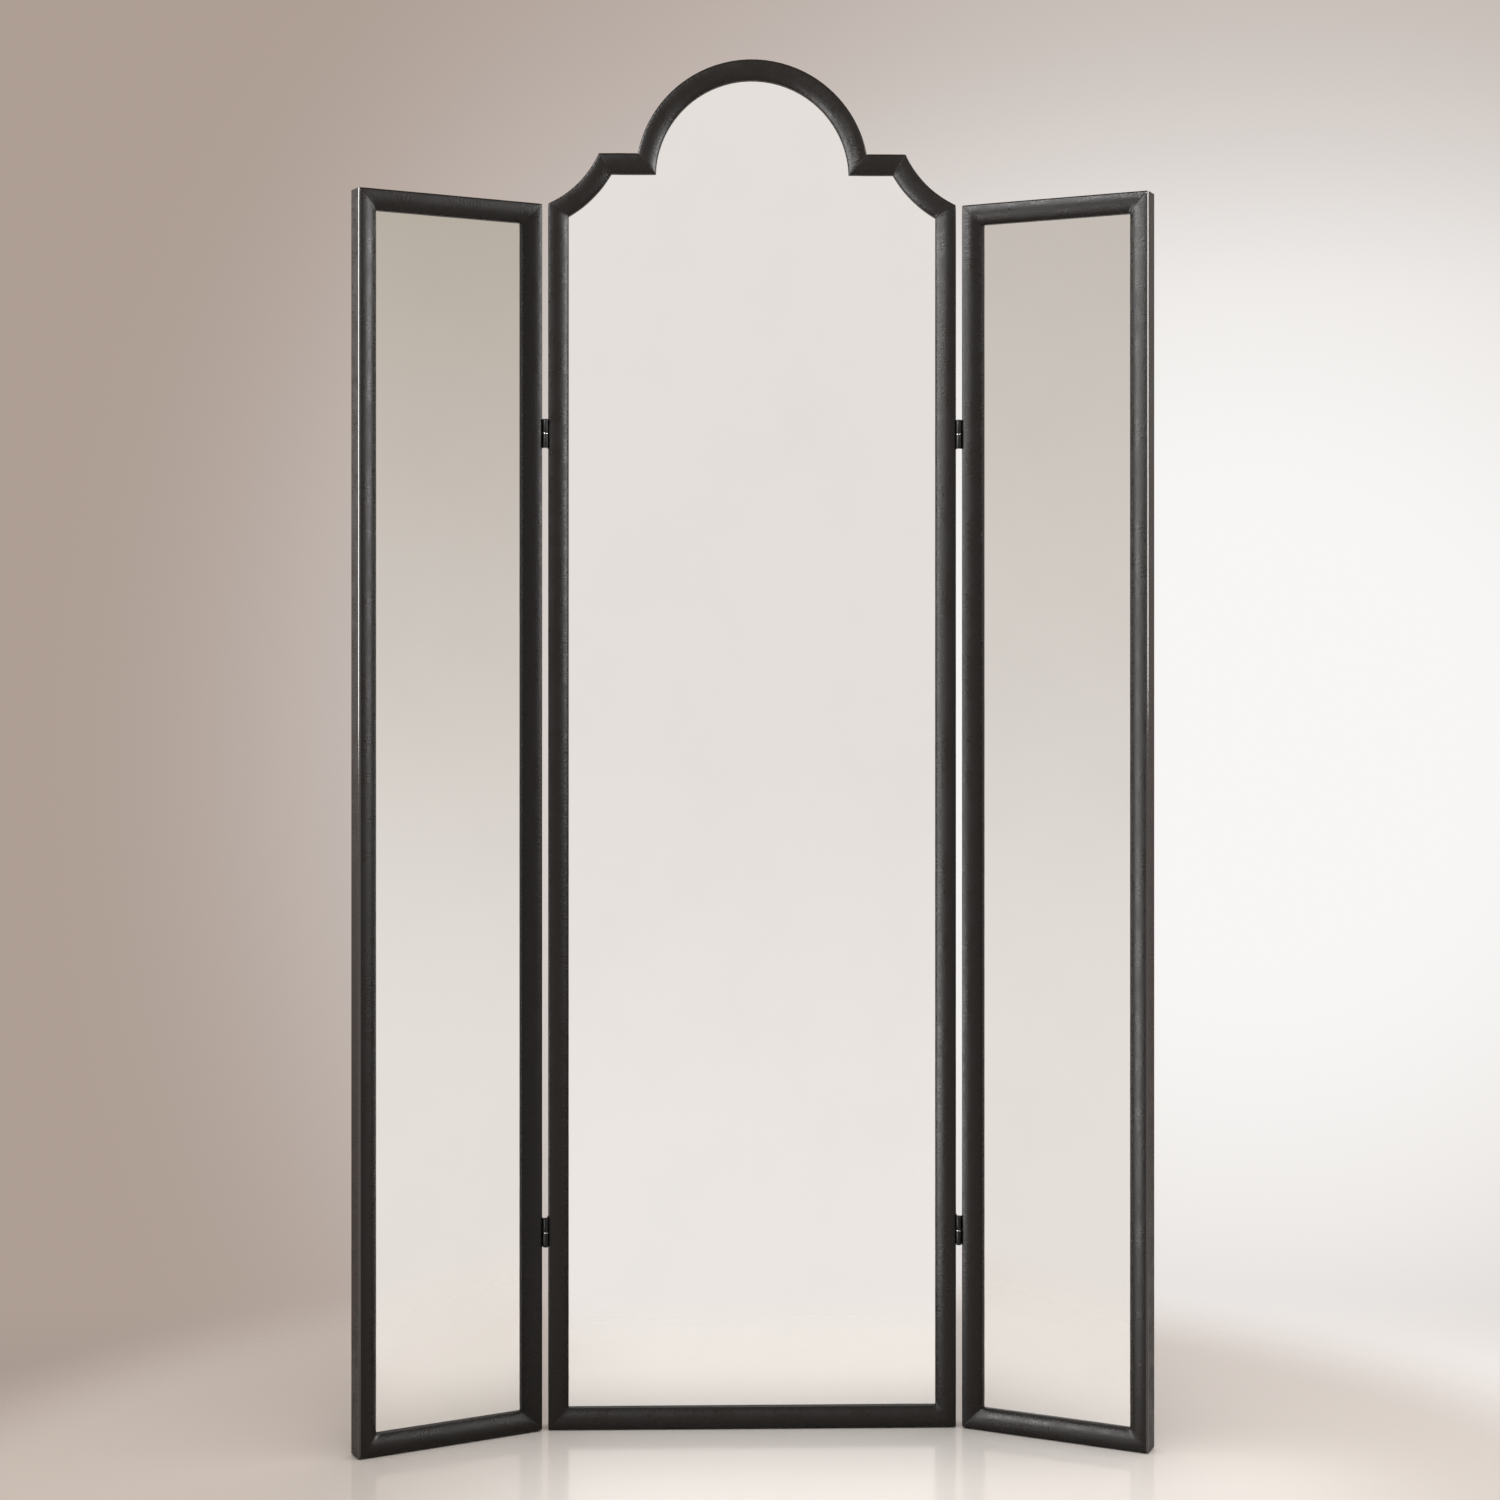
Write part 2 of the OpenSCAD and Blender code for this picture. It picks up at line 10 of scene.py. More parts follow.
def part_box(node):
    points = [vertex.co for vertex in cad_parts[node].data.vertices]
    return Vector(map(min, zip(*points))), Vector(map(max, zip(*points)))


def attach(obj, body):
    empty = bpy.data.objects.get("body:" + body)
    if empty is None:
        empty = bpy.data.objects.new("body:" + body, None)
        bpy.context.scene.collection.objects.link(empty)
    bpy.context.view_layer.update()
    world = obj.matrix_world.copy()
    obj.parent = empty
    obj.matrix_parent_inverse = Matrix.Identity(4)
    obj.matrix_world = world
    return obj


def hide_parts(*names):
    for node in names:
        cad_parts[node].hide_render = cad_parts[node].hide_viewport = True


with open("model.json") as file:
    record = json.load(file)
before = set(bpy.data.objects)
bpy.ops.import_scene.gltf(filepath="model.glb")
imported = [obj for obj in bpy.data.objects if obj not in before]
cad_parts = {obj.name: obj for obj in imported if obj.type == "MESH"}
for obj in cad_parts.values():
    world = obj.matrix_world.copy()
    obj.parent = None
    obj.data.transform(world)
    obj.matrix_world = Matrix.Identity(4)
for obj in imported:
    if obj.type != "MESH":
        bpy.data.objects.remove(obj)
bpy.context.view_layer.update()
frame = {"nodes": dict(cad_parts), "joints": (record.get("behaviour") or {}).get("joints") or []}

scene = bpy.context.scene
scene.view_settings.view_transform = "Standard"

# Lengths are in metres. A plan is x across a panel, y up from its foot and z from its back to its front.
mm = 0.001
mergeDistance = 0.002 * mm


# Small helpers for node trees

def feed(tree, socket, value):
    if isinstance(value, Wire):
        tree.links.new(value.socket, socket)
    elif value is not None:
        socket.default_value = value


class Wire:
    # One value in a node tree, so that a formula made of nodes reads as a formula
    def __init__(self, tree, socket):
        self.tree = tree
        self.socket = socket

    def run(self, operation, *others):
        return add(self.tree, "ShaderNodeMath", dict(enumerate((self, *others))), operation=operation)

    def __add__(self, other):
        return self.run("ADD", other)

    def __sub__(self, other):
        return self.run("SUBTRACT", other)

    def __mul__(self, other):
        return self.run("MULTIPLY", other)

    def __truediv__(self, other):
        return self.run("DIVIDE", other)

    def squared(self):
        return self.run("MULTIPLY", self)

    def rescaled(self, low, high, newLow=0.0, newHigh=1.0, smooth=True):
        feeds = {"Value": self, "From Min": low, "From Max": high, "To Min": newLow, "To Max": newHigh}
        return add(self.tree, "ShaderNodeMapRange", feeds, out="Result",
                   interpolation_type="SMOOTHSTEP" if smooth else "LINEAR")


def add(tree, kind, feeds=None, out=0, **settings):
    node = tree.nodes.new(kind)
    for key, value in settings.items():
        setattr(node, key, value)
    for key, value in (feeds or {}).items():
        feed(tree, node.inputs[key], value)
    return Wire(tree, node.outputs[out])


def noiseOf(tree, vector, scale=1.0, **more):
    return add(tree, "ShaderNodeTexNoise", {"Vector": vector, "Scale": scale, **more})


def vectorOf(tree, x, y, z):
    return add(tree, "ShaderNodeCombineXYZ", {0: x, 1: y, 2: z})


def partsOf(tree, vector):
    node = tree.nodes.new("ShaderNodeSeparateXYZ")
    feed(tree, node.inputs[0], vector)
    return [Wire(tree, socket) for socket in node.outputs]


def newTree(name, kind, takes, gives):
    # A node group with named inputs and outputs; takes gives each input's kind of socket and its default
    tree = bpy.data.node_groups.new(name, kind)
    for label, (socketType, default) in takes.items():
        socket = tree.interface.new_socket(label, in_out="INPUT", socket_type="NodeSocket" + socketType)
        if default is not None:
            socket.default_value = default
    for label, socketType in gives.items():
        tree.interface.new_socket(label, in_out="OUTPUT", socket_type="NodeSocket" + socketType)
    source = tree.nodes.new("NodeGroupInput")
    sink = tree.nodes.new("NodeGroupOutput")
    return tree, {label: Wire(tree, source.outputs[label]) for label in takes}, sink


def linked(name, data):
    piece = bpy.data.objects.new(name, data)
    scene.collection.objects.link(piece)
    return piece


def bakedMesh(maker):
    # What an object's modifiers make of it; the object itself goes
    depsgraph = bpy.context.evaluated_depsgraph_get()
    mesh = bpy.data.meshes.new_from_object(maker.evaluated_get(depsgraph), depsgraph=depsgraph)
    bpy.data.objects.remove(maker)
    return mesh


def runTree(tree, baseMesh, values, name):
    # Puts a geometry tree on a mesh and turns what it makes into a plain mesh object
    maker = linked(name + "Maker", baseMesh)
    modifier = maker.modifiers.new("tree", "NODES")
    modifier.node_group = tree
    for socket in tree.interface.items_tree:
        if socket.in_out == "INPUT" and socket.name in values:
            modifier[socket.identifier] = values[socket.name]
    mesh = bakedMesh(maker)
    mesh.name = name
    return linked(name, mesh)


def mergedWork(mesh):
    # A working copy of a mesh without doubles, with every face turned outwards
    work = bmesh.new()
    work.from_mesh(mesh)
    bmesh.ops.remove_doubles(work, verts=work.verts, dist=mergeDistance)
    bmesh.ops.recalc_face_normals(work, faces=work.faces)
    return work


def tidyMesh(mesh, smoothAngle):
    work = mergedWork(mesh)
    for face in work.faces:
        face.smooth = True
    work.to_mesh(mesh)
    work.free()
    mesh.set_sharp_from_angle(angle=math.radians(smoothAngle))


def dress(piece, look):
    piece.data.materials.clear()
    piece.data.materials.append(look)


def settle(piece, body, nodes):
    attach(piece, body)
    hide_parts(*nodes)


# Camera: the photograph's, solved from the straight edges of the three panels

camera = {
    "place": (-0.0892, -3.522, 1.0756),
    "turn": -1.4,
    "focal": 60.73,
    "sensor": 36.0,
    "shiftY": -0.0643,
    "clipEnd": 100,
}


def makeCamera(values):
    data = bpy.data.cameras.new("camera")
    data.sensor_width = values["sensor"]
    data.lens = values["focal"]
    data.shift_y = values["shiftY"]
    data.clip_end = values["clipEnd"]
    cameraObject = linked("camera", data)
    cameraObject.location = values["place"]
    cameraObject.rotation_euler = (math.radians(90), 0, math.radians(values["turn"]))
    scene.camera = cameraObject


makeCamera(camera)
print("camera set")


# Main lines of the panels, read from the solids

archLow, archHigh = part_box("arch_leather")
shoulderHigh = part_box("right_shoulder_leather")[1]
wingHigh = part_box("right_wing_hinge_stile_leather")[1]
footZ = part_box("centre_bottom_rail_leather")[0].z
thickness = archHigh.y - archLow.y
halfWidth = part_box("centre_right_stile_leather")[1].x
shoulderY = shoulderHigh.z - footZ
wingHeight = wingHigh.z - footZ
archRise = archHigh.z - shoulderHigh.z
archRadius = (archHigh.x ** 2 + archRise ** 2) / (2 * archRise)
archY = archHigh.z - footZ - archRadius
coveOffset = 55 * mm
coveX = halfWidth + coveOffset
coveY = shoulderY + coveOffset
coveRadius = math.hypot(coveOffset, coveX - shoulderHigh.x)
wing = {"angle": 27.0, "width": 267 * mm}

moulding = {
    "faceWidth": 28 * mm,
    "edgeRadius": 2.5 * mm,
    "crownWidth": 7 * mm,
    "crownFall": 0.36 * mm,  # how far the crown falls off towards its outer edge
    "mirrorSet": 13.5 * mm,
    "lipHeight": 4 * mm,
    "lipRound": 0.7 * mm,
    "leather": 1.2 * mm,
    "backTurn": 9 * mm,
    "lipTurn": 6 * mm,
}


def archCorner(inset):
    drop = shoulderY - archY - inset
    return math.sqrt((archRadius - inset) ** 2 - drop ** 2), shoulderY - inset


def coveReach(inset):
    return math.sqrt((coveRadius + inset) ** 2 - (coveOffset + inset) ** 2)


def mitresOfCentre(width):
    # Outer and inner corner of each mitre on the right side, from the foot up to the arch
    return [
        ((halfWidth, 0), (halfWidth - width, width)),
        ((halfWidth, coveY - coveReach(0)), (halfWidth - width, coveY - coveReach(width))),
        ((coveX - coveReach(0), shoulderY), (coveX - coveReach(width), shoulderY - width)),
        (archCorner(0), archCorner(width)),
    ]


def mitresOfWing(width):
    across, up = wing["width"], wingHeight
    return [
        ((0, 0), (width, width)),
        ((across, 0), (across - width, width)),
        ((across, up), (across - width, up - width)),
        ((0, up), (width, up - width)),
    ]


def flipped(points):
    return tuple((-x, y) for x, y in points)


# Stands a plan up on the floor, with its front towards the viewer
standUp = Matrix(((1, 0, 0, 0), (0, 0, -1, thickness / 2), (0, 1, 0, footZ), (0, 0, 0, 1)))


def wingPlace(side):
    # Where a wing's plan stands at rest; side is -1 for the left wing and 1 for the right one
    joint = next(j for j in frame["joints"] if j["child"] == ("left_wing" if side < 0 else "right_wing"))
    axisX, axisY = abs(joint["pos_m"][0]), joint["pos_m"][1]
    turned = Matrix.Rotation(math.radians(-wing["angle"]), 4, "Z")
    local = Matrix.Translation((axisX - halfWidth, -axisY, 0)) @ standUp
    right = Matrix.Translation((axisX, axisY, 0)) @ turned @ local
    return Matrix.Diagonal((side, 1, 1, 1)) @ right


# Shader groups: effects that several finishes share

def patchesGroup():
    # Soft patches of one size
    takes = {"Vector": ("Vector", None), "Size": ("Float", 0.05), "Detail": ("Float", 4.0),
             "Low": ("Float", 0.4), "High": ("Float", 0.6)}
    tree, ask, sink = newTree("patches", "ShaderNodeTree", takes, {"Mask": "Float"})
    scale = ask["Size"].run("POWER", -1.0)
    noise = noiseOf(tree, ask["Vector"], scale, Detail=ask["Detail"], Roughness=0.6)
    feed(tree, sink.inputs["Mask"], noise.rescaled(ask["Low"], ask["High"]))
    return tree


def pebblesGroup():
    # Rounded cells with creases between them, and a finer grain on top
    takes = {"Vector": ("Vector", None), "Size": ("Float", 0.001), "Fine": ("Float", 0.3)}
    tree, ask, sink = newTree("pebbles", "ShaderNodeTree", takes, {"Height": "Float"})
    warpReach, creaseWidth = 0.7 * mm, 0.35
    scale = ask["Size"].run("POWER", -1.0)
    warp = add(tree, "ShaderNodeTexNoise", {"Vector": ask["Vector"], "Scale": scale * 0.5}, out="Color")
    moved = add(tree, "ShaderNodeVectorMath", {0: warp, 1: (warpReach,) * 3}, operation="MULTIPLY")
    bent = add(tree, "ShaderNodeVectorMath", {0: ask["Vector"], 1: moved}, operation="ADD")
    cells = add(tree, "ShaderNodeTexVoronoi", {"Vector": bent, "Scale": scale}, feature="DISTANCE_TO_EDGE")
    grain = noiseOf(tree, ask["Vector"], scale * 3.0, Detail=2.0)
    height = cells.rescaled(0.0, creaseWidth) + grain * ask["Fine"]
    feed(tree, sink.inputs["Height"], height)
    return tree


def scuffsGroup():
    # Sparse fine marks, longer one way than the other
    takes = {"Vector": ("Vector", None), "Size": ("Float", 0.01), "Stretch": ("Float", 8.0),
             "Amount": ("Float", 0.3)}
    tree, ask, sink = newTree("scuffs", "ShaderNodeTree", takes, {"Mask": "Float"})
    x, y, z = partsOf(tree, ask["Vector"])
    stretched = vectorOf(tree, x * ask["Stretch"], y, z * ask["Stretch"])
    scale = ask["Size"].run("POWER", -1.0)
    marks = noiseOf(tree, stretched, scale, Detail=3.0)
    spots = noiseOf(tree, ask["Vector"], scale * 0.3)  # leaves the marks only here and there
    mask = marks.rescaled(0.55, 0.72) * spots.rescaled(0.45, 0.65) * ask["Amount"]
    feed(tree, sink.inputs["Mask"], mask)
    return tree


patches = patchesGroup()
pebbles = pebblesGroup()
scuffs = scuffsGroup()


def grouped(tree, group, **feeds):
    return add(tree, "ShaderNodeGroup", feeds, node_tree=group)


def newLook(name, **constants):
    look = bpy.data.materials.new(name)
    look.use_nodes = True
    tree = look.node_tree
    shader = tree.nodes["Principled BSDF"]
    for label, value in constants.items():
        shader.inputs[label.replace("_", " ")].default_value = value
    return look, tree


def finished(look, colour, rough=None, normal=None):
    # Feeds a material's surface; what is left out keeps its constant
    shader = look.node_tree.nodes["Principled BSDF"]
    for label, value in (("Base Color", colour), ("Roughness", rough), ("Normal", normal)):
        feed(look.node_tree, shader.inputs[label], value)
    return look


def blend(tree, mask, low, high):
    # A colour between two, by a mask
    low, high = (end if isinstance(end, Wire) else (*end, 1.0) for end in (low, high))
    return add(tree, "ShaderNodeMix", {"Factor": mask, 6: low, 7: high}, out=2, data_type="RGBA")


def bumped(tree, height, depth, strength=1.0, under=None):
    feeds = {"Height": height, "Distance": depth, "Strength": strength, "Normal": under}
    return add(tree, "ShaderNodeBump", feeds)


def objectPlace(tree, turn=0.0):
    place = add(tree, "ShaderNodeTexCoord", out="Object")
    if turn:
        place = add(tree, "ShaderNodeMapping", {"Vector": place, "Rotation": (0, 0, math.radians(turn))})
    return place


def twoToneLook(values, name, relief=None, **constants):
    # One colour passes into another under a shader group, and the roughness goes with it
    look, tree = newLook(name, **constants)
    place = objectPlace(tree, values.get("turn", 0.0))
    mask = grouped(tree, values["group"], Vector=place, **values["mask"])
    rough = mask.rescaled(*values["roughRange"]) if "roughRange" in values else None
    return finished(look, blend(tree, mask, *values["colours"]), rough, relief and relief(tree, place, mask))


# Leather: black, satin, with a fine grain and soft streaks across the moulding

leather = {
    "dark": (0.0025, 0.0016, 0.0011),
    "worn": (0.0048, 0.0036, 0.0030),
    "seam": (0.0016, 0.0012, 0.0010),
    "patchSize": 34 * mm,
    "patchLimits": (0.36, 0.64),
    "blotchSize": 4.5 * mm,
    "blotchLimits": (0.35, 0.68),
    "streakWidth": 2.2 * mm,
    "streakLength": 26 * mm,
    "streakLimits": (0.38, 0.64),
    "wornShares": (0.45, 0.25, 0.30),  # of the patches, the blotches and the streaks
    "grainSize": 1.2 * mm,
    "grainFine": 0.35,
    "grainDepth": 0.07 * mm,
    "creaseShares": (0.4, 0.7),  # of the streaks and the blotches
    "creaseDepth": 0.13 * mm,
    "seamReach": (0.15 * mm, 0.7 * mm),
    "seamShade": 0.55,
    "wornRange": (0.15, 0.85),
    "roughRange": (0.46, 0.25),
    "roughSeam": 0.6,
    "roughArris": 0.13,
    "roughBack": 0.62,
    "specular": 0.22,
    "specularRubbed": 1.0,
    "grainRubbedOff": 0.85,  # hands rub the grain away too
}


def leatherLook(values):
    look, tree = newLook("blackLeather")
    run, girth, _ = partsOf(tree, add(tree, "ShaderNodeUVMap", uv_map="wrap"))
    flat = vectorOf(tree, run, girth, 0.0)
    toSeam, arris, rubbed, skin = (
        add(tree, "ShaderNodeAttribute", out="Fac", attribute_name=name)
        for name in ("toSeam", "arris", "rubbed", "skin")
    )

    def marks(kind):
        low, high = values[kind + "Limits"]
        return grouped(tree, patches, Vector=flat, Size=values[kind + "Size"], Low=low, High=high)

    streakPlace = vectorOf(tree, run / values["streakWidth"], girth / values["streakLength"], 0.0)
    streaks = noiseOf(tree, streakPlace, Detail=3.0).rescaled(*values["streakLimits"])
    broad, small = marks("patch"), marks("blotch")
    broadShare, smallShare, streakShare = values["wornShares"]
    worn = broad * broadShare + small * smallShare + streaks * streakShare
    joint = toSeam.rescaled(*values["seamReach"], values["seamShade"], 0.0)
    colour = blend(tree, joint, blend(tree, worn, values["dark"], values["worn"]), values["seam"])

    rough = worn.rescaled(*values["wornRange"], *values["roughRange"], smooth=False)
    rough = rough - (rough - values["roughArris"]) * arris * (worn * 0.5 + 0.5).run("MAXIMUM", rubbed)
    rough = rough.run("MAXIMUM", (skin * -1.0 + 1.0) * values["roughBack"])
    rough = rough.run("MAXIMUM", joint * values["roughSeam"])
    shine = rubbed * (values["specularRubbed"] - values["specular"]) + values["specular"]
    feed(tree, tree.nodes["Principled BSDF"].inputs["Specular IOR Level"], shine)

    left = rubbed * -values["grainRubbedOff"] + 1.0
    streakShare, smallShare = values["creaseShares"]
    creases = (streaks * streakShare + small * smallShare) * left
    creased = bumped(tree, creases, values["creaseDepth"], 0.8)
    grain = grouped(tree, pebbles, Vector=flat, Size=values["grainSize"], Fine=values["grainFine"])
    return finished(look, colour, rough, bumped(tree, grain * left, values["grainDepth"], 0.6, creased))


blackLeather = leatherLook(leather)


# Leather wraps: one strip swept round each member and cut off at its mitres

wrap = {
    "segmentLength": 7 * mm,
    "fewestSegments": 26,
    "crowding": 0.88,  # draws the rings together towards the mitres
    "swell": 0.40 * mm,
    "swellMiddle": 0.72,  # above this the noise is cut off, so that the leather only dips
    "swellSize": 26 * mm,
    "pucker": 2.2,
    "puckerReach": 12 * mm,
    "seamDepth": 0.26 * mm,
    "seamWidth": 1.2 * mm,
    "foldReach": 5.5 * mm,  # how far from a mitre the leather starts to round it off
    "foldSteepest": 0.95,
    "ridgeShare": 0.55,  # how much a mitre that stands out is rounded, beside one that goes in
    "seedStep": 1.37,
    "smoothAngle": 50,
}


def sectionPoints(values):
    # The leather's section as a closed outline: u is the inset from the outer edge, v the height from the
    # back. Each point has its skin weight, 1 where the surface shows and may swell and 0 where it is pinned
    # down, the steepness of the surface for the rounding of the mitres, and how far it belongs to the front
    # arris or to the end of the lip, which wear smooth.
    width, edge, crown = values["faceWidth"], values["edgeRadius"], values["crownWidth"]
    skin, fall, lipRound = values["leather"], values["crownFall"], values["lipRound"]
    mirrorZ = thickness - values["mirrorSet"]
    lipTop = mirrorZ + values["lipHeight"]
    rollWidth, rollDrop = width - crown, thickness - lipTop
    rollRadius = (rollWidth ** 2 + rollDrop ** 2) / (2 * rollDrop)
    rollEnd = math.asin(rollWidth / rollRadius)
    frontY = thickness - fall - edge
    tilt = math.degrees(math.atan2(fall * 2, crown - edge))
    points = []

    def arc(u, v, radius, start, end, count, weight, steep=0.0, arris=0.0, lip=0.0):
        for step in range(count + 1):
            angle = math.radians(start + (end - start) * step / count)
            fold = min(abs(math.tan(math.pi / 2 - angle)), wrap["foldSteepest"]) * steep
            smooth = arris + lip * max(step / count * 3.0 - 2.0, 0.0)
            points.append((u + radius * math.cos(angle), v + radius * math.sin(angle), weight, fold, smooth))

    def line(u0, v0, u1, v1, count, weight, steep=(0.0, 0.0), lip=0.0):
        for step in range(count + 1):
            share = step / count
            fold = (steep[0] + (steep[1] - steep[0]) * share) * wrap["foldSteepest"]
            points.append((u0 + (u1 - u0) * share, v0 + (v1 - v0) * share, weight, fold, lip))

    line(values["backTurn"], 0, edge + 1 * mm, 0, 3, 0)  # turn on the back
    arc(edge, edge, edge, 270, 180, 6, 0.3)
    line(0, edge + 2 * mm, 0, frontY - 2 * mm, 6, 1)  # side
    arc(edge, frontY, edge, 180, 90 + tilt, 7, 0.8, arris=1.0)
    for step in range(1, 5):  # crown
        u = edge + (crown - edge) * step / 5
        points.append((u, thickness - fall * ((crown - u) / (crown - edge)) ** 2, 1, 0.0, 0.0))
    lastRoll = 90 - math.degrees(rollEnd - lipRound / rollRadius)
    arc(crown, thickness - rollRadius, rollRadius, 90, lastRoll, 22, 1, steep=1.0, lip=1.0)
    line(width - 0.05 * mm, lipTop - lipRound * 0.35, width, lipTop - lipRound, 1, 1, (1, 1), 1.0)
    line(width, mirrorZ + 2 * mm, width, mirrorZ + 0.3 * mm, 1, 0.2, (0.4, 0))
    line(width - 0.3 * mm, mirrorZ, width - values["lipTurn"], mirrorZ, 2, 0)  # turn under the lip
    # Back along the inner side
    inner = rollRadius - skin
    innerEnd = math.degrees(math.asin((width - skin - crown) / inner))
    line(width - values["lipTurn"], mirrorZ + skin, width - skin, mirrorZ + skin, 1, 0)
    arc(crown, thickness - rollRadius, inner, 90 - innerEnd, 90, 9, 0)
    arc(edge, frontY, edge - skin, 90 + tilt, 180, 3, 0)
    arc(edge, edge, edge - skin, 180, 270, 3, 0)
    points.append((values["backTurn"], skin, 0, 0.0, 0.0))
    return points


def sectionMesh(points):
    # The outline as a mesh whose points carry what the sweep and the leather need
    count = len(points)
    mesh = bpy.data.meshes.new("leatherSection")
    place = np.array(points)[:, :2]
    mesh.from_pydata([(u, v, 0) for u, v in place], [(i, (i + 1) % count) for i in range(count)], [])
    along = np.roll(place, -1, 0) - np.roll(place, 1, 0)
    along /= np.maximum(np.linalg.norm(along, axis=1, keepdims=True), 1e-9)
    girth = np.concatenate([[0], np.cumsum(np.linalg.norm(np.diff(place, axis=0), axis=1))])
    columns = {
        "inset": place[:, 0], "height": place[:, 1], "girth": girth,
        "pushIn": -along[:, 1], "pushUp": along[:, 0],
    }
    columns.update(zip(("skin", "steep", "arris"), np.array(points)[:, 2:].T))
    for name, values in columns.items():
        attribute = mesh.attributes.new(name, "FLOAT", "POINT")
        attribute.data.foreach_set("value", np.array(values, np.float32))
    return mesh


def wrapTree(values, width):
    # Sweeps the section from one mitre to the next, straight or round a bend, and works the leather over it
    takes = {
        "Section": ("Geometry", None), "Segments": ("Int", 40),
        "Start outer": ("Vector", None), "Start inner": ("Vector", None),
        "End outer": ("Vector", None), "End inner": ("Vector", None),
        "Curved": ("Bool", False), "Bend": ("Float", 1.0),
        "Centre": ("Vector", None), "Outer radius": ("Float", 1.0),
        "Start fold": ("Float", 1.0), "End fold": ("Float", 1.0),
        "Rubbed": ("Float", 0.0), "Seed": ("Float", 0.0),
    }
    tree, ask, sink = newTree("wrapMember", "GeometryNodeTree", takes, {"Wrap": "Geometry"})
    startOuter, startInner = partsOf(tree, ask["Start outer"])[:2], partsOf(tree, ask["Start inner"])[:2]
    endOuter, endInner = partsOf(tree, ask["End outer"])[:2], partsOf(tree, ask["End inner"])[:2]
    centre = partsOf(tree, ask["Centre"])[:2]
    bend, radius = ask["Bend"], ask["Outer radius"]

    def named(name):
        return add(tree, "GeometryNodeInputNamedAttribute", {"Name": name}, data_type="FLOAT")

    def stored(geometry, name, value, dataType="FLOAT", domain="POINT"):
        return add(tree, "GeometryNodeStoreNamedAttribute",
                   {"Geometry": geometry, "Name": name, "Value": value}, data_type=dataType, domain=domain)

    def chosen(straight, curved):
        feeds = {0: ask["Curved"], 1: straight, 2: curved}
        return add(tree, "GeometryNodeSwitch", feeds, input_type="FLOAT")

    def onLine(outer, inner, inset):
        share = inset / width
        return [o + (i - o) * share for o, i in zip(outer, inner)]

    def turnAtMitre(outer, inner, reach):
        # Where the circle at this inset meets the mitre's line, as an angle about the bend's centre
        step = [i - o for o, i in zip(outer, inner)]
        away = [o - c for o, c in zip(outer, centre)]
        a = step[0].squared() + step[1].squared()
        b = (away[0] * step[0] + away[1] * step[1]) * 2.0
        c = away[0].squared() + away[1].squared() - reach.squared()
        root = (b.squared() - a * c * 4.0).run("SQRT")
        share = (b * -1.0 - bend * root) / (a * 2.0)
        return (away[1] + step[1] * share).run("ARCTAN2", away[0] + step[0] * share)

    def placed(inset, run):
        start, end = onLine(startOuter, startInner, inset), onLine(endOuter, endInner, inset)
        span = [e - s for s, e in zip(start, end)]
        whole = (span[0].squared() + span[1].squared()).run("SQRT")
        reach = radius - bend * inset
        first = turnAtMitre(startOuter, startInner, reach)
        sweep = turnAtMitre(endOuter, endInner, reach) - first
        turn = first + sweep * run
        x = chosen(start[0] + span[0] * run, centre[0] + reach * turn.run("COSINE"))
        y = chosen(start[1] + span[1] * run, centre[1] + reach * turn.run("SINE"))
        length = chosen(whole, (sweep * reach).run("ABSOLUTE"))
        return x, y, length, turn

    profile = add(tree, "GeometryNodeMeshToCurve", {0: ask["Section"]})
    line = add(tree, "GeometryNodeCurvePrimitiveLine", {"Start": (0, 0, 0), "End": (1, 0, 0)})
    rings = add(tree, "GeometryNodeResampleCurve", {"Curve": line, "Count": ask["Segments"] + 1.0})
    factor = add(tree, "GeometryNodeSplineParameter", out="Factor")
    eased = factor - (factor * math.tau).run("SINE") * values["crowding"] / math.tau
    rings = stored(rings, "run", eased)
    swept = add(tree, "GeometryNodeCurveToMesh",
                {"Curve": rings, "Profile Curve": profile, "Fill Caps": True})

    inset, height, girth, run = named("inset"), named("height"), named("girth"), named("run")
    x, y, length, turn = placed(inset, run)
    spanX, spanY = endOuter[0] - startOuter[0], endOuter[1] - startOuter[1]
    whole = (spanX.squared() + spanY.squared()).run("SQRT")
    straightRun = ((x - startOuter[0]) * spanX + (y - startOuter[1]) * spanY) / whole
    curvedRun = turn * (radius - bend * width * 0.5)
    lengthwise = chosen(straightRun, curvedRun) + ask["Seed"]
    fromStart, fromEnd = run * length, (run * -1.0 + 1.0) * length
    toEnd = fromStart.run("MINIMUM", fromEnd)
    noisePlace = vectorOf(tree, lengthwise / values["swellSize"], girth / values["swellSize"], ask["Seed"])
    noise = noiseOf(tree, noisePlace, Detail=3.0) - values["swellMiddle"]
    puckered = (toEnd / values["puckerReach"] * -1.0).run("EXPONENT") * values["pucker"] + 1.0
    dip = (toEnd / values["seamWidth"] * -1.0 + 1.0).run("MAXIMUM", 0.0).squared() * values["seamDepth"]
    push = (noise * values["swell"] * puckered - dip).run("MINIMUM", 0.0) * named("skin")
    newX, newY, _, _ = placed(inset + named("pushIn") * push, run)

    def rounding(distance, strength):
        # The height that a rounded valley adds at a mitre, or that a rounded ridge takes off
        near = (distance * -1.0 + values["foldReach"]).run("MAXIMUM", 0.0)
        return near.squared() / (values["foldReach"] * 4.0) * strength

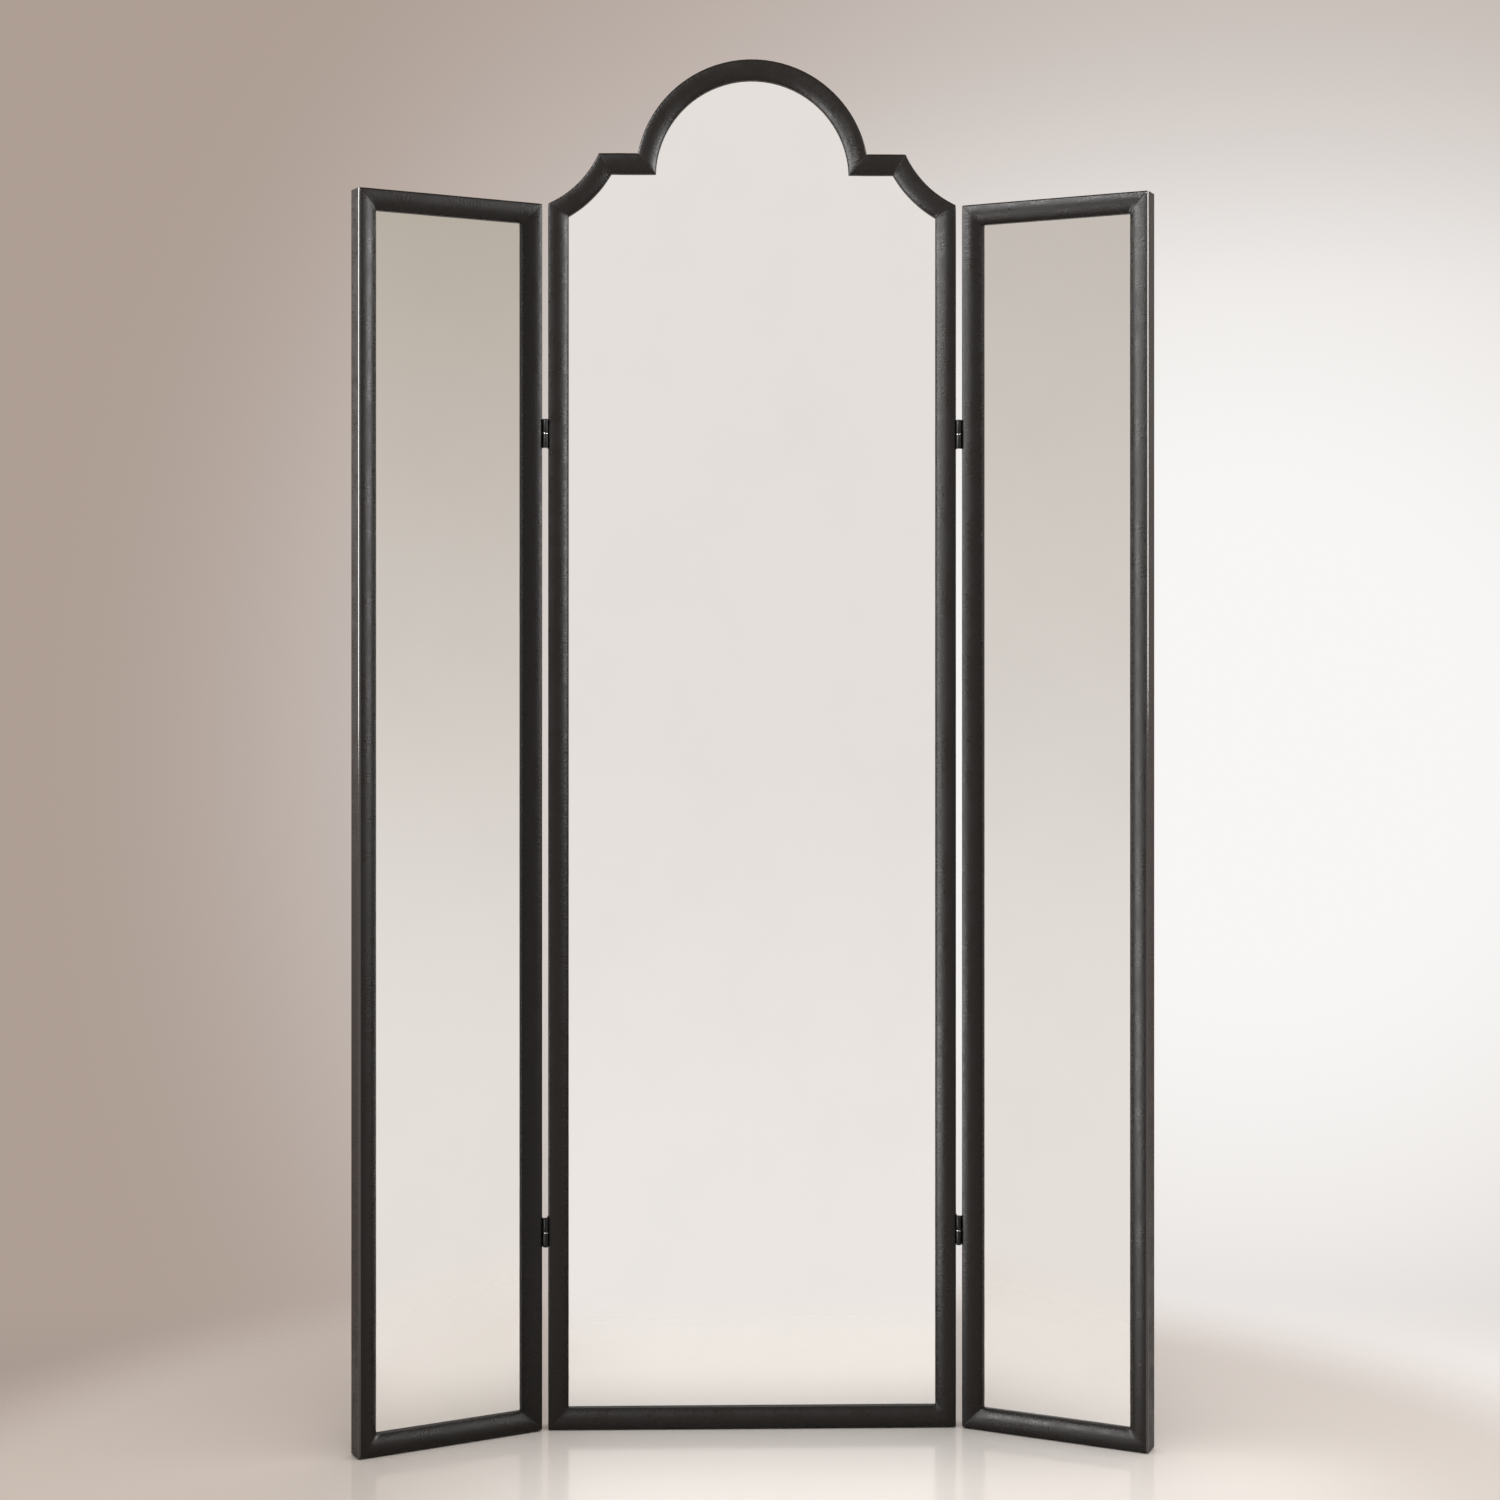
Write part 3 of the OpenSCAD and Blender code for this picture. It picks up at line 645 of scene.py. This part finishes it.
    fill = rounding(fromStart, ask["Start fold"]) + rounding(fromEnd, ask["End fold"])
    place = vectorOf(tree, newX, newY, height + named("pushUp") * push + fill * named("steep"))
    shaped = add(tree, "GeometryNodeSetPosition", {"Geometry": swept, "Position": place})
    mapped = stored(shaped, "wrap", vectorOf(tree, lengthwise, girth, 0.0), "FLOAT2", "CORNER")
    mapped = stored(mapped, "toSeam", toEnd)
    mapped = stored(mapped, "rubbed", named("arris") * ask["Rubbed"])
    feed(tree, sink.inputs["Wrap"], mapped)
    return tree


def centreMembers():
    foot, ear, neck, spring = mitresOfCentre(moulding["faceWidth"])
    members = [{"name": "bottomRailWrap", "node": "centre_bottom_rail_leather",
                "start": flipped(foot), "end": foot}]
    for side, word in ((-1, "left"), (1, "right")):
        def seen(mitre):
            return flipped(mitre) if side < 0 else mitre

        members += [
            {"name": word + "StileWrap", "node": f"centre_{word}_stile_leather",
             "start": seen(foot), "end": seen(ear)},
            {"name": word + "CoveWrap", "node": word + "_cove_leather",
             "start": seen(ear), "end": seen(neck),
             "centre": (side * coveX, coveY), "radius": coveRadius, "bend": -1.0},
            {"name": word + "ShoulderWrap", "node": word + "_shoulder_leather",
             "start": seen(neck), "end": seen(spring), "folds": (1.0, -wrap["ridgeShare"])},
        ]
    members.append({"name": "archWrap", "node": "arch_leather", "start": spring, "end": flipped(spring),
                    "centre": (0, archY), "radius": archRadius, "bend": 1.0,
                    "folds": (-wrap["ridgeShare"], -wrap["ridgeShare"])})
    return members


def wingMembers(word):
    # The outer stiles are what the hands take hold of, so their arrises are rubbed to a shine
    corners = mitresOfWing(moulding["faceWidth"])
    parts = ["bottom_rail", "outer_stile", "top_rail", "hinge_stile"]
    return [
        {"name": word + "Wing" + part.title().replace("_", "") + "Wrap",
         "node": f"{word}_wing_{part}_leather", "start": corners[i], "end": corners[(i + 1) % 4],
         "rubbed": float(part == "outer_stile")}
        for i, part in enumerate(parts)
    ]


def wrapMembers(tree, section, members, place, body, seed):
    for number, member in enumerate(members):
        (outer0, inner0), (outer1, inner1) = member["start"], member["end"]
        # The arch is half round, so it is longer than the line between its ends
        length = math.dist(outer0, outer1) * (math.pi / 2 if member["name"] == "archWrap" else 1)
        startFold, endFold = member.get("folds", (1.0, 1.0))
        piece = runTree(tree, section, {
            "Segments": max(wrap["fewestSegments"], round(length / wrap["segmentLength"])),
            "Start outer": (*outer0, 0.0), "Start inner": (*inner0, 0.0),
            "End outer": (*outer1, 0.0), "End inner": (*inner1, 0.0),
            "Curved": "bend" in member, "Bend": member.get("bend", 1.0),
            "Centre": (*member.get("centre", (0.0, 0.0)), 0.0), "Outer radius": member.get("radius", 1.0),
            "Start fold": startFold, "End fold": endFold, "Rubbed": member.get("rubbed", 0.0),
            "Seed": seed + number * wrap["seedStep"],
        }, member["name"])
        piece.data.transform(place)
        tidyMesh(piece.data, wrap["smoothAngle"])
        dress(piece, blackLeather)
        settle(piece, body, [member["node"]])


leatherSection = sectionMesh(sectionPoints(moulding))
memberTree = wrapTree(wrap, moulding["faceWidth"])
panels = {
    "centre_panel": (centreMembers(), standUp, 3.0),
    "left_wing": (wingMembers("left"), wingPlace(-1), 31.0),
    "right_wing": (wingMembers("right"), wingPlace(1), 57.0),
}
for panel, (members, place, seed) in panels.items():
    wrapMembers(memberTree, leatherSection, members, place, panel, seed)
print("leather wrapped round", sum(len(members) for members, _, _ in panels.values()), "members")


# Screws: one countersunk screw with a cross recess, set in every hole

screw = {
    "headRadius": 2.9 * mm,
    "shankRadius": 1.5 * mm,
    "sinkDepth": 1.4 * mm,
    "rim": 0.18 * mm,
    "neck": 1 * mm,  # plain shank between the head and the thread
    "pitch": 1.2 * mm,
    "threadDepth": 0.28 * mm,
    "pointLength": 2.2 * mm,
    "tipRadius": 0.25 * mm,
    "tipLength": 0.1 * mm,
    "recessWidth": 0.85 * mm,
    "recessReach": 1.75 * mm,
    "recessDepth": 1.3 * mm,
    "recessOver": 0.2 * mm,  # how far the cutting cross stands over the head
    "recessTaper": 0.45,
    "sides": 28,
    "smoothAngle": 35,
    "headLevel": 0.05 * mm,  # what lies this near the top of a solid is its head's face
}


def revolved(name, outline, sides):
    # Turns an outline of (radius, height) points round the Z axis; its ends lie on the axis
    mesh = bmesh.new()
    points = [mesh.verts.new((r, 0, h)) for r, h in outline]
    edges = [mesh.edges.new(pair) for pair in zip(points, points[1:])]
    bmesh.ops.spin(mesh, geom=points + edges, cent=(0, 0, 0), axis=(0, 0, 1), angle=math.tau, steps=sides,
                   use_merge=True)
    bmesh.ops.remove_doubles(mesh, verts=mesh.verts, dist=mergeDistance)
    bmesh.ops.recalc_face_normals(mesh, faces=mesh.faces)
    data = bpy.data.meshes.new(name)
    mesh.to_mesh(data)
    mesh.free()
    return linked(name, data)


def makeScrew(values, length):
    # Stands on its point, with the head's face at the origin
    shank, head, rim = values["shankRadius"], values["headRadius"], values["rim"]
    core = shank - values["threadDepth"]
    outline = [(0, 0), (head - rim, 0), (head, -rim), (shank, -values["sinkDepth"])]
    threadTop, threadEnd = -values["sinkDepth"] - values["neck"], -length + values["pointLength"]
    for turn in range(int((threadTop - threadEnd) / values["pitch"])):
        top = threadTop - turn * values["pitch"]
        outline += [(core, top), (shank, top - values["pitch"] / 2)]
    outline += [(core, threadEnd), (values["tipRadius"], values["tipLength"] - length), (0, -length)]
    body = revolved("screwBody", outline, values["sides"])
    recess = bmesh.new()
    depth = values["recessDepth"]
    size = Matrix.Diagonal((values["recessReach"] * 2, values["recessWidth"], depth, 1))
    bar = Matrix.Translation((0, 0, values["recessOver"] - depth / 2)) @ size
    for angle in (0, 90):
        bmesh.ops.create_cube(recess, size=1, matrix=Matrix.Rotation(math.radians(angle), 4, "Z") @ bar)
    for vert in recess.verts:
        if vert.co.z < -depth / 2:
            vert.co.xy *= values["recessTaper"]
    cutterData = bpy.data.meshes.new("recess")
    recess.to_mesh(cutterData)
    recess.free()
    cutter = linked("recess", cutterData)
    cut = body.modifiers.new("recess", "BOOLEAN")
    cut.object = cutter
    cut.operation = "DIFFERENCE"
    cut.solver = "EXACT"
    cut.use_self = True
    mesh = bakedMesh(body)
    bpy.data.objects.remove(cutter)
    tidyMesh(mesh, values["smoothAngle"])
    return mesh


def mergedIslands(node):
    # Point clouds of the separate solids in a node. A dictionary keeps its order, so every run finds them
    # in the same order and turns each screw the same way.
    work = mergedWork(frame["nodes"][node].data)
    left, islands = dict.fromkeys(work.verts), []
    while left:
        stack, island = [left.popitem()[0]], []
        while stack:
            vert = stack.pop()
            island.append(vert.co[:])
            for edge in vert.link_edges:
                other = edge.other_vert(vert)
                if other in left:
                    del left[other]
                    stack.append(other)
        islands.append(np.array(island))
    work.free()
    return islands


def screwSeats(node):
    # The middle of each screw's head, the way the head faces and the screw's length
    seats = []
    for cloud in mergedIslands(node):
        middle = cloud.mean(0)
        _, _, axes = np.linalg.svd(cloud - middle, full_matrices=False)
        axis = axes[0]
        along = (cloud - middle) @ axis
        off = np.linalg.norm(cloud - middle - np.outer(along, axis), axis=1)
        if along[off.argmax()] < 0:
            axis, along = -axis, -along
        head = cloud[along > along.max() - screw["headLevel"]]
        seats.append(((head.min(0) + head.max(0)) / 2, axis, along.max() - along.min()))
    return seats


def screwTree():
    # Sets the screw on every seat, turned its own way about its axis
    takes = {"Seats": ("Geometry", None), "Screw": ("Object", None), "Seed": ("Int", 7)}
    tree, ask, sink = newTree("setScrews", "GeometryNodeTree", takes, {"Screws": "Geometry"})
    facing = add(tree, "GeometryNodeInputNamedAttribute", {"Name": "facing"}, data_type="FLOAT_VECTOR")
    upright = add(tree, "FunctionNodeAlignRotationToVector", {"Vector": facing}, axis="Z")
    angle = add(tree, "FunctionNodeRandomValue", {"Max": math.tau, "Seed": ask["Seed"]},
                out=1, data_type="FLOAT")
    spin = vectorOf(tree, 0.0, 0.0, angle)
    own = add(tree, "FunctionNodeEulerToRotation", {0: spin})
    turned = add(tree, "FunctionNodeRotateRotation", {0: upright, 1: own}, rotation_space="LOCAL")
    shape = add(tree, "GeometryNodeObjectInfo", {"Object": ask["Screw"]}, out="Geometry")
    points = add(tree, "GeometryNodeMeshToPoints", {"Mesh": ask["Seats"]})
    placed = add(tree, "GeometryNodeInstanceOnPoints",
                 {"Points": points, "Instance": shape, "Rotation": turned})
    feed(tree, sink.inputs["Screws"], add(tree, "GeometryNodeRealizeInstances", {"Geometry": placed}))
    return tree


oxide = {
    "colours": ((0.045, 0.043, 0.042), (0.16, 0.155, 0.15)),
    "group": patches,
    "mask": {"Size": 2 * mm, "Low": 0.5, "High": 0.72},
    "roughRange": (0.0, 1.0, 0.42, 0.28),
}
blackOxide = twoToneLook(oxide, "blackOxide", Metallic=1.0)


def setScrews(tree, node, body, name, seed):
    heads, facings, lengths = zip(*screwSeats(node))
    pattern = linked("screwPattern", makeScrew(screw, float(np.median(lengths))))
    mesh = bpy.data.meshes.new("seats")
    mesh.from_pydata([tuple(head) for head in heads], [], [])
    attribute = mesh.attributes.new("facing", "FLOAT_VECTOR", "POINT")
    attribute.data.foreach_set("vector", np.array(facings, np.float32).ravel())
    piece = runTree(tree, mesh, {"Screw": pattern, "Seed": seed}, name)
    bpy.data.objects.remove(pattern)
    piece.data.set_sharp_from_angle(angle=math.radians(screw["smoothAngle"]))
    dress(piece, blackOxide)
    settle(piece, body, [node])


seatScrews = screwTree()
for panel in panels:
    for kind, seed in (("board_screws", 11), ("hinge_screws", 23)):
        node = panel.replace("_panel", "") + "_" + kind
        setScrews(seatScrews, node, panel, (panel + kind).replace("_", ""), seed)
print("screws set")


# Metalwork: hinges, pins, washers and glides get the small radii that the solids leave out

lacquer = {
    "colours": ((0.003, 0.003, 0.003), (0.02, 0.019, 0.018)),
    "group": scuffs,
    "mask": {"Size": 4 * mm, "Stretch": 3.0, "Amount": 0.8},
    "roughRange": (0.0, 0.5, 0.36, 0.50),
    "grainSize": 0.5 * mm,
    "grainDepth": 0.01 * mm,
}
pinSteel = {"colour": (0.62, 0.61, 0.60), "rough": 0.30}
washerSteel = {"colour": (0.86, 0.85, 0.83), "rough": 0.18}
nylon = {
    "colours": ((0.018, 0.017, 0.016), (0.07, 0.066, 0.062)),
    "group": scuffs,
    "mask": {"Size": 3 * mm, "Stretch": 2.0, "Amount": 1.0},
    "roughRange": (0.0, 0.6, 0.42, 0.6),
}


def lacquerGrain(tree, place, _):
    fine = grouped(tree, pebbles, Vector=place, Size=lacquer["grainSize"], Fine=0.2)
    return bumped(tree, fine, lacquer["grainDepth"], 0.5)


def turnedSteelLook(name, values):
    # The fine rings that turning leaves, with painted shade darkening their hollows
    ringSpread, ringHeight, shade, roughStep = 40.0, 9000.0, 0.82, 0.06
    look, tree = newLook(name, Metallic=1.0)
    x, y, z = partsOf(tree, objectPlace(tree))
    rings = noiseOf(tree, vectorOf(tree, x * ringSpread, y * ringSpread, z * ringHeight))
    colour, rough = values["colour"], values["rough"]
    return finished(look, blend(tree, rings.rescaled(0.3, 0.7), tuple(c * shade for c in colour), colour),
                    rings.rescaled(0.3, 0.7, rough - roughStep, rough + roughStep))


metalwork = {  # material and radius of the edges, by slot
    "hinge": (twoToneLook(lacquer, "blackLacquer", lacquerGrain, Specular_IOR_Level=0.18), 0.22 * mm),
    "pin": (turnedSteelLook("turnedSteel", pinSteel), 0.4 * mm),
    "washer": (turnedSteelLook("brightSteel", washerSteel), 0.12 * mm),
    "glide": (twoToneLook(nylon, "blackNylon", Specular_IOR_Level=0.4), 0.35 * mm),
}
bevel = {
    "sharpRange": (32, 160),  # the edges that turn by an angle between these are rounded
    "flatAngle": 0.6,  # faces that meet flatter than this are joined first
    "segments": 2,
    "smoothAngle": 30,
}


def rounded(node, name, body, slot):
    # A bevelled copy of a node's merged mesh
    look, radius = metalwork[slot]
    piece = frame["nodes"][node].copy()
    piece.data = frame["nodes"][node].data.copy()
    piece.name = name
    piece.data.name = name
    scene.collection.objects.link(piece)
    work = mergedWork(piece.data)
    bmesh.ops.dissolve_limit(work, angle_limit=math.radians(bevel["flatAngle"]), verts=work.verts,
                             edges=work.edges, delimit={"NORMAL"})
    low, high = (math.radians(angle) for angle in bevel["sharpRange"])
    sharp = [edge for edge in work.edges
             if len(edge.link_faces) == 2 and low < edge.calc_face_angle_signed(0) < high]
    bmesh.ops.bevel(work, geom=sharp, offset=radius, segments=bevel["segments"], profile=0.5,
                    affect="EDGES", clamp_overlap=True)
    work.to_mesh(piece.data)
    work.free()
    tidyMesh(piece.data, bevel["smoothAngle"])
    dress(piece, look)
    settle(piece, body, [node])


for slot, nodes in {
    "hinge": ["left_pin_leaves", "right_pin_leaves", "left_wing_hinge_leaves", "right_wing_hinge_leaves"],
    "pin": ["hinge_pins"],
    "washer": ["hinge_washers"],
    "glide": ["centre_glides", "left_wing_glides", "right_wing_glides"],
}.items():
    for node in nodes:
        first, *words = node.replace("wing_hinge", "wing").split("_")
        body = next((panel for panel in panels if node.startswith(panel)), "centre_panel")
        rounded(node, first + "".join(word.title() for word in words), body, slot)
print("metalwork rounded")


# Mirrors and what lies behind them

mirror = {
    "colours": ((0.935, 0.938, 0.932), (0.915, 0.920, 0.912)),
    "group": patches,
    "mask": {"Size": 0.16, "Detail": 3.0, "Low": 0.42, "High": 0.75},
}
timber = {
    "early": (0.50, 0.33, 0.17),
    "late": (0.30, 0.17, 0.075),
    "ringScale": (60.0, 3.0),  # across the member and along it
    "poreScale": (1800.0, 60.0),
    "poreShare": 0.3,
    "roughRange": (0.52, 0.68),
    "grainDepth": 0.08 * mm,
}
board = {
    "paint": (0.026, 0.0242, 0.0225),
    "paintWorn": (0.034, 0.0315, 0.0292),
    "dust": (0.085, 0.078, 0.070),
    "weaveStep": 1.3 * mm,
    "weaveDepth": 0.06 * mm,
    "cloudSize": 0.09,
    "dustSize": 25 * mm,
    "roughRange": (0.66, 0.74),
}
# Closed-cell foam: darker in the creases between the cells, which is painted shade, over the cells' bump
foam = {
    "colours": ((0.012, 0.012, 0.012), (0.04, 0.04, 0.04)),
    "group": pebbles,
    "mask": {"Size": 0.8 * mm, "Fine": 0.3},
    "depth": 0.1 * mm,
}
beech = {
    "colours": ((0.60, 0.42, 0.24), (0.38, 0.22, 0.10)),
    "group": scuffs,
    "mask": {"Size": 4 * mm, "Stretch": 5.0, "Amount": 1.5},
    "turn": 20,
}


def timberLook(values, name, turn, upright):
    # Planed pine: growth rings stretched along the member
    look, tree = newLook(name, Specular_IOR_Level=0.3)
    x, y, z = partsOf(tree, objectPlace(tree, turn))
    along, across = (z, x) if upright else (x, z)

    def stretched(scale):
        return vectorOf(tree, across * scale[0], y * scale[0], along * scale[1])

    rings = add(tree, "ShaderNodeTexWave",
                {"Vector": stretched(values["ringScale"]), "Scale": 1.0, "Distortion": 5.0, "Detail": 3.0,
                 "Detail Scale": 1.5}, out="Fac", wave_type="RINGS", rings_direction="Z")
    pores = noiseOf(tree, stretched(values["poreScale"]), Detail=2.0)
    share = values["poreShare"]
    grain = rings.rescaled(0.1, 0.9) * (1 - share) + pores.rescaled(0.35, 0.7) * share
    return finished(look, blend(tree, grain, values["early"], values["late"]),
                    grain.rescaled(0.0, 1.0, *values["roughRange"]),
                    bumped(tree, grain, values["grainDepth"], 0.6))


def boardLook(values, turn):
    # Painted hardboard: the faint weave that the press screen leaves, under black paint
    look, tree = newLook("paintedHardboard" + str(round(turn)), Specular_IOR_Level=0.15)
    place = objectPlace(tree, turn)
    x, _, z = partsOf(tree, place)
    threads = math.tau / values["weaveStep"]
    weave = (x * threads).run("SINE") * (z * threads).run("SINE") * 0.5 + 0.5
    cloud = grouped(tree, patches, Vector=place, Size=values["cloudSize"], Low=0.35, High=0.7)
    dust = grouped(tree, scuffs, Vector=place, Size=values["dustSize"], Stretch=4.0, Amount=0.35)
    base = blend(tree, cloud, values["paint"], values["paintWorn"])
    return finished(look, blend(tree, dust, base, values["dust"]),
                    cloud.rescaled(0.0, 1.0, *values["roughRange"]),
                    bumped(tree, weave, values["weaveDepth"], 0.6))


def foamCells(tree, _, cells):
    return bumped(tree, cells, foam["depth"])


def dressNodes():
    # What has none of these words in its name is timber or a back board
    byWord = {
        "_mirror": twoToneLook(mirror, "mirrorGlass", Metallic=1.0, Roughness=0.0),
        "foam": twoToneLook(foam, "closedCellFoam", foamCells, Specular_IOR_Level=0.2, Roughness=0.9),
        "biscuits": twoToneLook(beech, "pressedBeech", Specular_IOR_Level=0.25, Roughness=0.7),
        "_leather": blackLeather, "screws": blackOxide, "leaves": metalwork["hinge"][0],
        "pins": metalwork["pin"][0], "washers": metalwork["washer"][0], "glides": metalwork["glide"][0],
    }
    byPanel = {
        key: {"up": timberLook(timber, key + "Upright", turn, True),
              "flat": timberLook(timber, key + "Level", turn, False),
              "board": boardLook(board, turn)}
        for key, turn in (("centre", 0), ("left_wing", -wing["angle"]), ("right_wing", wing["angle"]))
    }
    for node, piece in frame["nodes"].items():
        panel = next((key for key in ("left_wing", "right_wing") if node.startswith(key)), "centre")
        run = "board" if "back_board" in node else "up" if "stile" in node or "cove" in node else "flat"
        word = next((word for word in byWord if word in node), None)
        dress(piece, byWord[word] if word else byPanel[panel][run])


dressNodes()
print("solids dressed")


# Studio: backdrop colours, pale floor with painted light and shade, and soft lights

# The world's colours depend on the direction only. Each pair is where one passes into the next along an axis.
studio = {
    "wallShade": (0.425, 0.345, 0.300),
    "wallBright": (0.94, 0.925, 0.91),
    "glowTowards": (0.217, 0.975, -0.035),
    "glowRange": (0.47, 0.08),
    "dimTop": 0.32,
    "dimUp": (0.13, 0.24),
    "dimAcross": (-0.15, 0.0),
    "groundShade": (0.40, 0.325, 0.285),
    "groundBright": (0.89, 0.845, 0.815),
    "groundAcross": (-0.24, 0.16),
    "groundDown": (-0.235, -0.268),
    # What the mirrors see, in front of the screen and to its sides
    "frontBright": (0.835, 0.787, 0.755),
    "leftSide": (0.56, 0.505, 0.455),
    "rightSide": (0.46, 0.40, 0.335),
    "sideAcross": (-0.3, 0.3),
    "sideways": (0.15, 0.70),
    "sideUp": (-0.25, 0.30),
    "groundSide": (0.84, 0.785, 0.745),
    "frontDown": (-0.02, -0.22),
    "frontToBack": (-0.15, 0.35),
}


def makeWorld(values):
    world = bpy.data.worlds.new("studio")
    scene.world = world
    world.use_nodes = True
    tree = world.node_tree
    background = tree.nodes["Background"]
    way = add(tree, "ShaderNodeTexCoord", out="Generated")
    x, y, z = partsOf(tree, way)
    far = add(tree, "ShaderNodeVectorMath", {0: way, 1: values["glowTowards"]},
              out="Value", operation="DISTANCE")
    wall = blend(tree, far.rescaled(*values["glowRange"]), values["wallShade"], values["wallBright"])
    dim = z.rescaled(*values["dimUp"]) * x.rescaled(*values["dimAcross"]) * values["dimTop"]
    wall = blend(tree, dim, wall, values["wallShade"])
    ground = blend(tree, x.rescaled(*values["groundAcross"]), values["groundShade"], values["groundBright"])
    back = blend(tree, z.rescaled(*values["groundDown"]), wall, ground)
    side = blend(tree, x.rescaled(*values["sideAcross"]), values["leftSide"], values["rightSide"])
    sideways = x.run("ABSOLUTE").rescaled(*values["sideways"])
    front = blend(tree, sideways * z.rescaled(*values["sideUp"]), values["frontBright"], side)
    frontGround = blend(tree, sideways, values["groundBright"], values["groundSide"])
    front = blend(tree, z.rescaled(*values["frontDown"]), front, frontGround)
    whole = blend(tree, y.rescaled(*values["frontToBack"]), front, back)
    feed(tree, background.inputs["Color"], whole)
    background.inputs["Strength"].default_value = 1.0


paleFloor = {
    "radius": 3.0,
    "sides": 96,
    # The floor's colour holds painted light: darker to the left (painted shade), lighter to the right and in
    # front of the screen (painted light)
    "shade": (0.520, 0.475, 0.437),
    "bright": (0.545, 0.522, 0.503),
    "brightAcross": (-1.0, 0.1),
    "right": (0.610, 0.582, 0.556),
    "rightAcross": (0.35, 0.75),
    # Painted light: the floor in front of the screen is lighter
    "front": (0.76, 0.733, 0.706),
    "frontNear": (0.02, -0.30),
    "frontLeft": (-0.6, -0.1),
    "frontRight": (0.95, 0.6),
    "specular": 0.40,
    "markSize": 0.9,
    "roughRange": (0.07, 0.14),
    "fadeMiddle": -0.45,  # y of the point round which the floor fades away
    "fadeRange": (1.03, 1.38),
    "fadeNear": (-0.30, -0.80),
}


def makeFloor(values):
    # The floor turns clear towards its rim, so that it passes into the ground of the world
    bpy.ops.mesh.primitive_circle_add(vertices=values["sides"], radius=values["radius"], fill_type="NGON")
    floor = bpy.context.object
    floor.name = "floor"
    look, tree = newLook("paleFloor", Specular_IOR_Level=values["specular"])
    place = objectPlace(tree)
    x, y, _ = partsOf(tree, place)
    # Painted shade to the left, painted light to the right and in front of the screen
    paleWithPaintedLight = blend(tree, x.rescaled(*values["brightAcross"]), values["shade"], values["bright"])
    paleWithPaintedLight = blend(tree, x.rescaled(*values["rightAcross"]), paleWithPaintedLight, values["right"])
    front = y.rescaled(*values["frontNear"]) * x.rescaled(*values["frontLeft"])
    paleWithPaintedLight = blend(tree, front * x.rescaled(*values["frontRight"]), paleWithPaintedLight, values["front"])
    marks = grouped(tree, patches, Vector=place, Size=values["markSize"], Detail=0.0, Low=0.2, High=0.8)
    finished(look, paleWithPaintedLight, marks.rescaled(0.0, 1.0, *values["roughRange"]))
    away = (x.squared() + (y - values["fadeMiddle"]).squared()).run("SQRT").rescaled(*values["fadeRange"])
    fade = away.run("MAXIMUM", y.rescaled(*values["fadeNear"]))
    surface = Wire(tree, tree.nodes["Principled BSDF"].outputs[0])
    clear = add(tree, "ShaderNodeBsdfTransparent")
    mixed = add(tree, "ShaderNodeMixShader", {0: fade, 1: surface, 2: clear})
    feed(tree, tree.nodes["Material Output"].inputs[0], mixed)
    dress(floor, look)
    return floor


# Radiance is what a lamp shows in a reflection, in units of the backdrop's white
lamps = {
    "leftPanel": {"place": (-2.6, -0.42, 1.93), "aim": (0.0, -0.42, 1.78),
                  "size": (2.15, 2.1), "radiance": 14.0},
    "leftLow": {"place": (-2.6, -1.0, -0.15), "aim": (0.0, -1.0, -0.10),
                "size": (2.7, 1.2), "radiance": 15.0,
                "spares": ["leftWingHingeStileWrap", "leftWingOuterStileWrap"]},
    "rightPanel": {"place": (2.6, -0.6, 1.98), "aim": (0.0, -0.6, 1.80),
                   "size": (1.8, 2.0), "radiance": 16.0},
    "leftKey": {"place": (-2.45, -2.75, 3.1), "aim": (0.2, -0.1, 1.3),
                "size": (1.5, 1.0), "radiance": 40.0, "spares": ["leftWingHingeStileWrap"]},
    "rightKey": {"place": (2.45, -2.75, 3.1), "aim": (-0.2, -0.1, 1.3),
                 "size": (1.6, 1.1), "radiance": 2.5},
    "floorLamp": {"place": (0.3, -0.3, 3.5), "aim": (0.1, -0.1, 0.0),
                  "size": (3.4, 3.4), "radiance": 3.5},
}


def linkLight(light, pieces, state):
    # INCLUDE lights only these pieces, EXCLUDE all but these
    group = bpy.data.collections.new(light.name + "Receivers")
    for piece in pieces:
        group.objects.link(piece)
    for entry in group.collection_objects:
        entry.light_linking.link_state = state
    light.light_linking.receiver_collection = group


def makeLamps(values, floor):
    # One lamp is for the floor and the glass and the others for the rest of the screen. So no mirror shows
    # a lamp as a white box, from whatever side it is seen, and none throws one on the floor.
    shared = [floor] + [piece for node, piece in frame["nodes"].items() if node.endswith("_mirror")]
    for name, lamp in values.items():
        data = bpy.data.lights.new(name, "AREA")
        data.shape = "RECTANGLE"
        data.size, data.size_y = lamp["size"]
        data.energy = lamp["radiance"] * math.pi * data.size * data.size_y
        light = linked(name, data)
        light.location = lamp["place"]
        aim = Vector(lamp["aim"]) - Vector(lamp["place"])
        light.rotation_euler = aim.to_track_quat("-Z", "Y").to_euler()
        spared = [bpy.data.objects[piece] for piece in lamp.get("spares", [])]
        linkLight(light, shared + spared, "INCLUDE" if name == "floorLamp" else "EXCLUDE")


makeWorld(studio)
makeLamps(lamps, makeFloor(paleFloor))
print("studio lit")
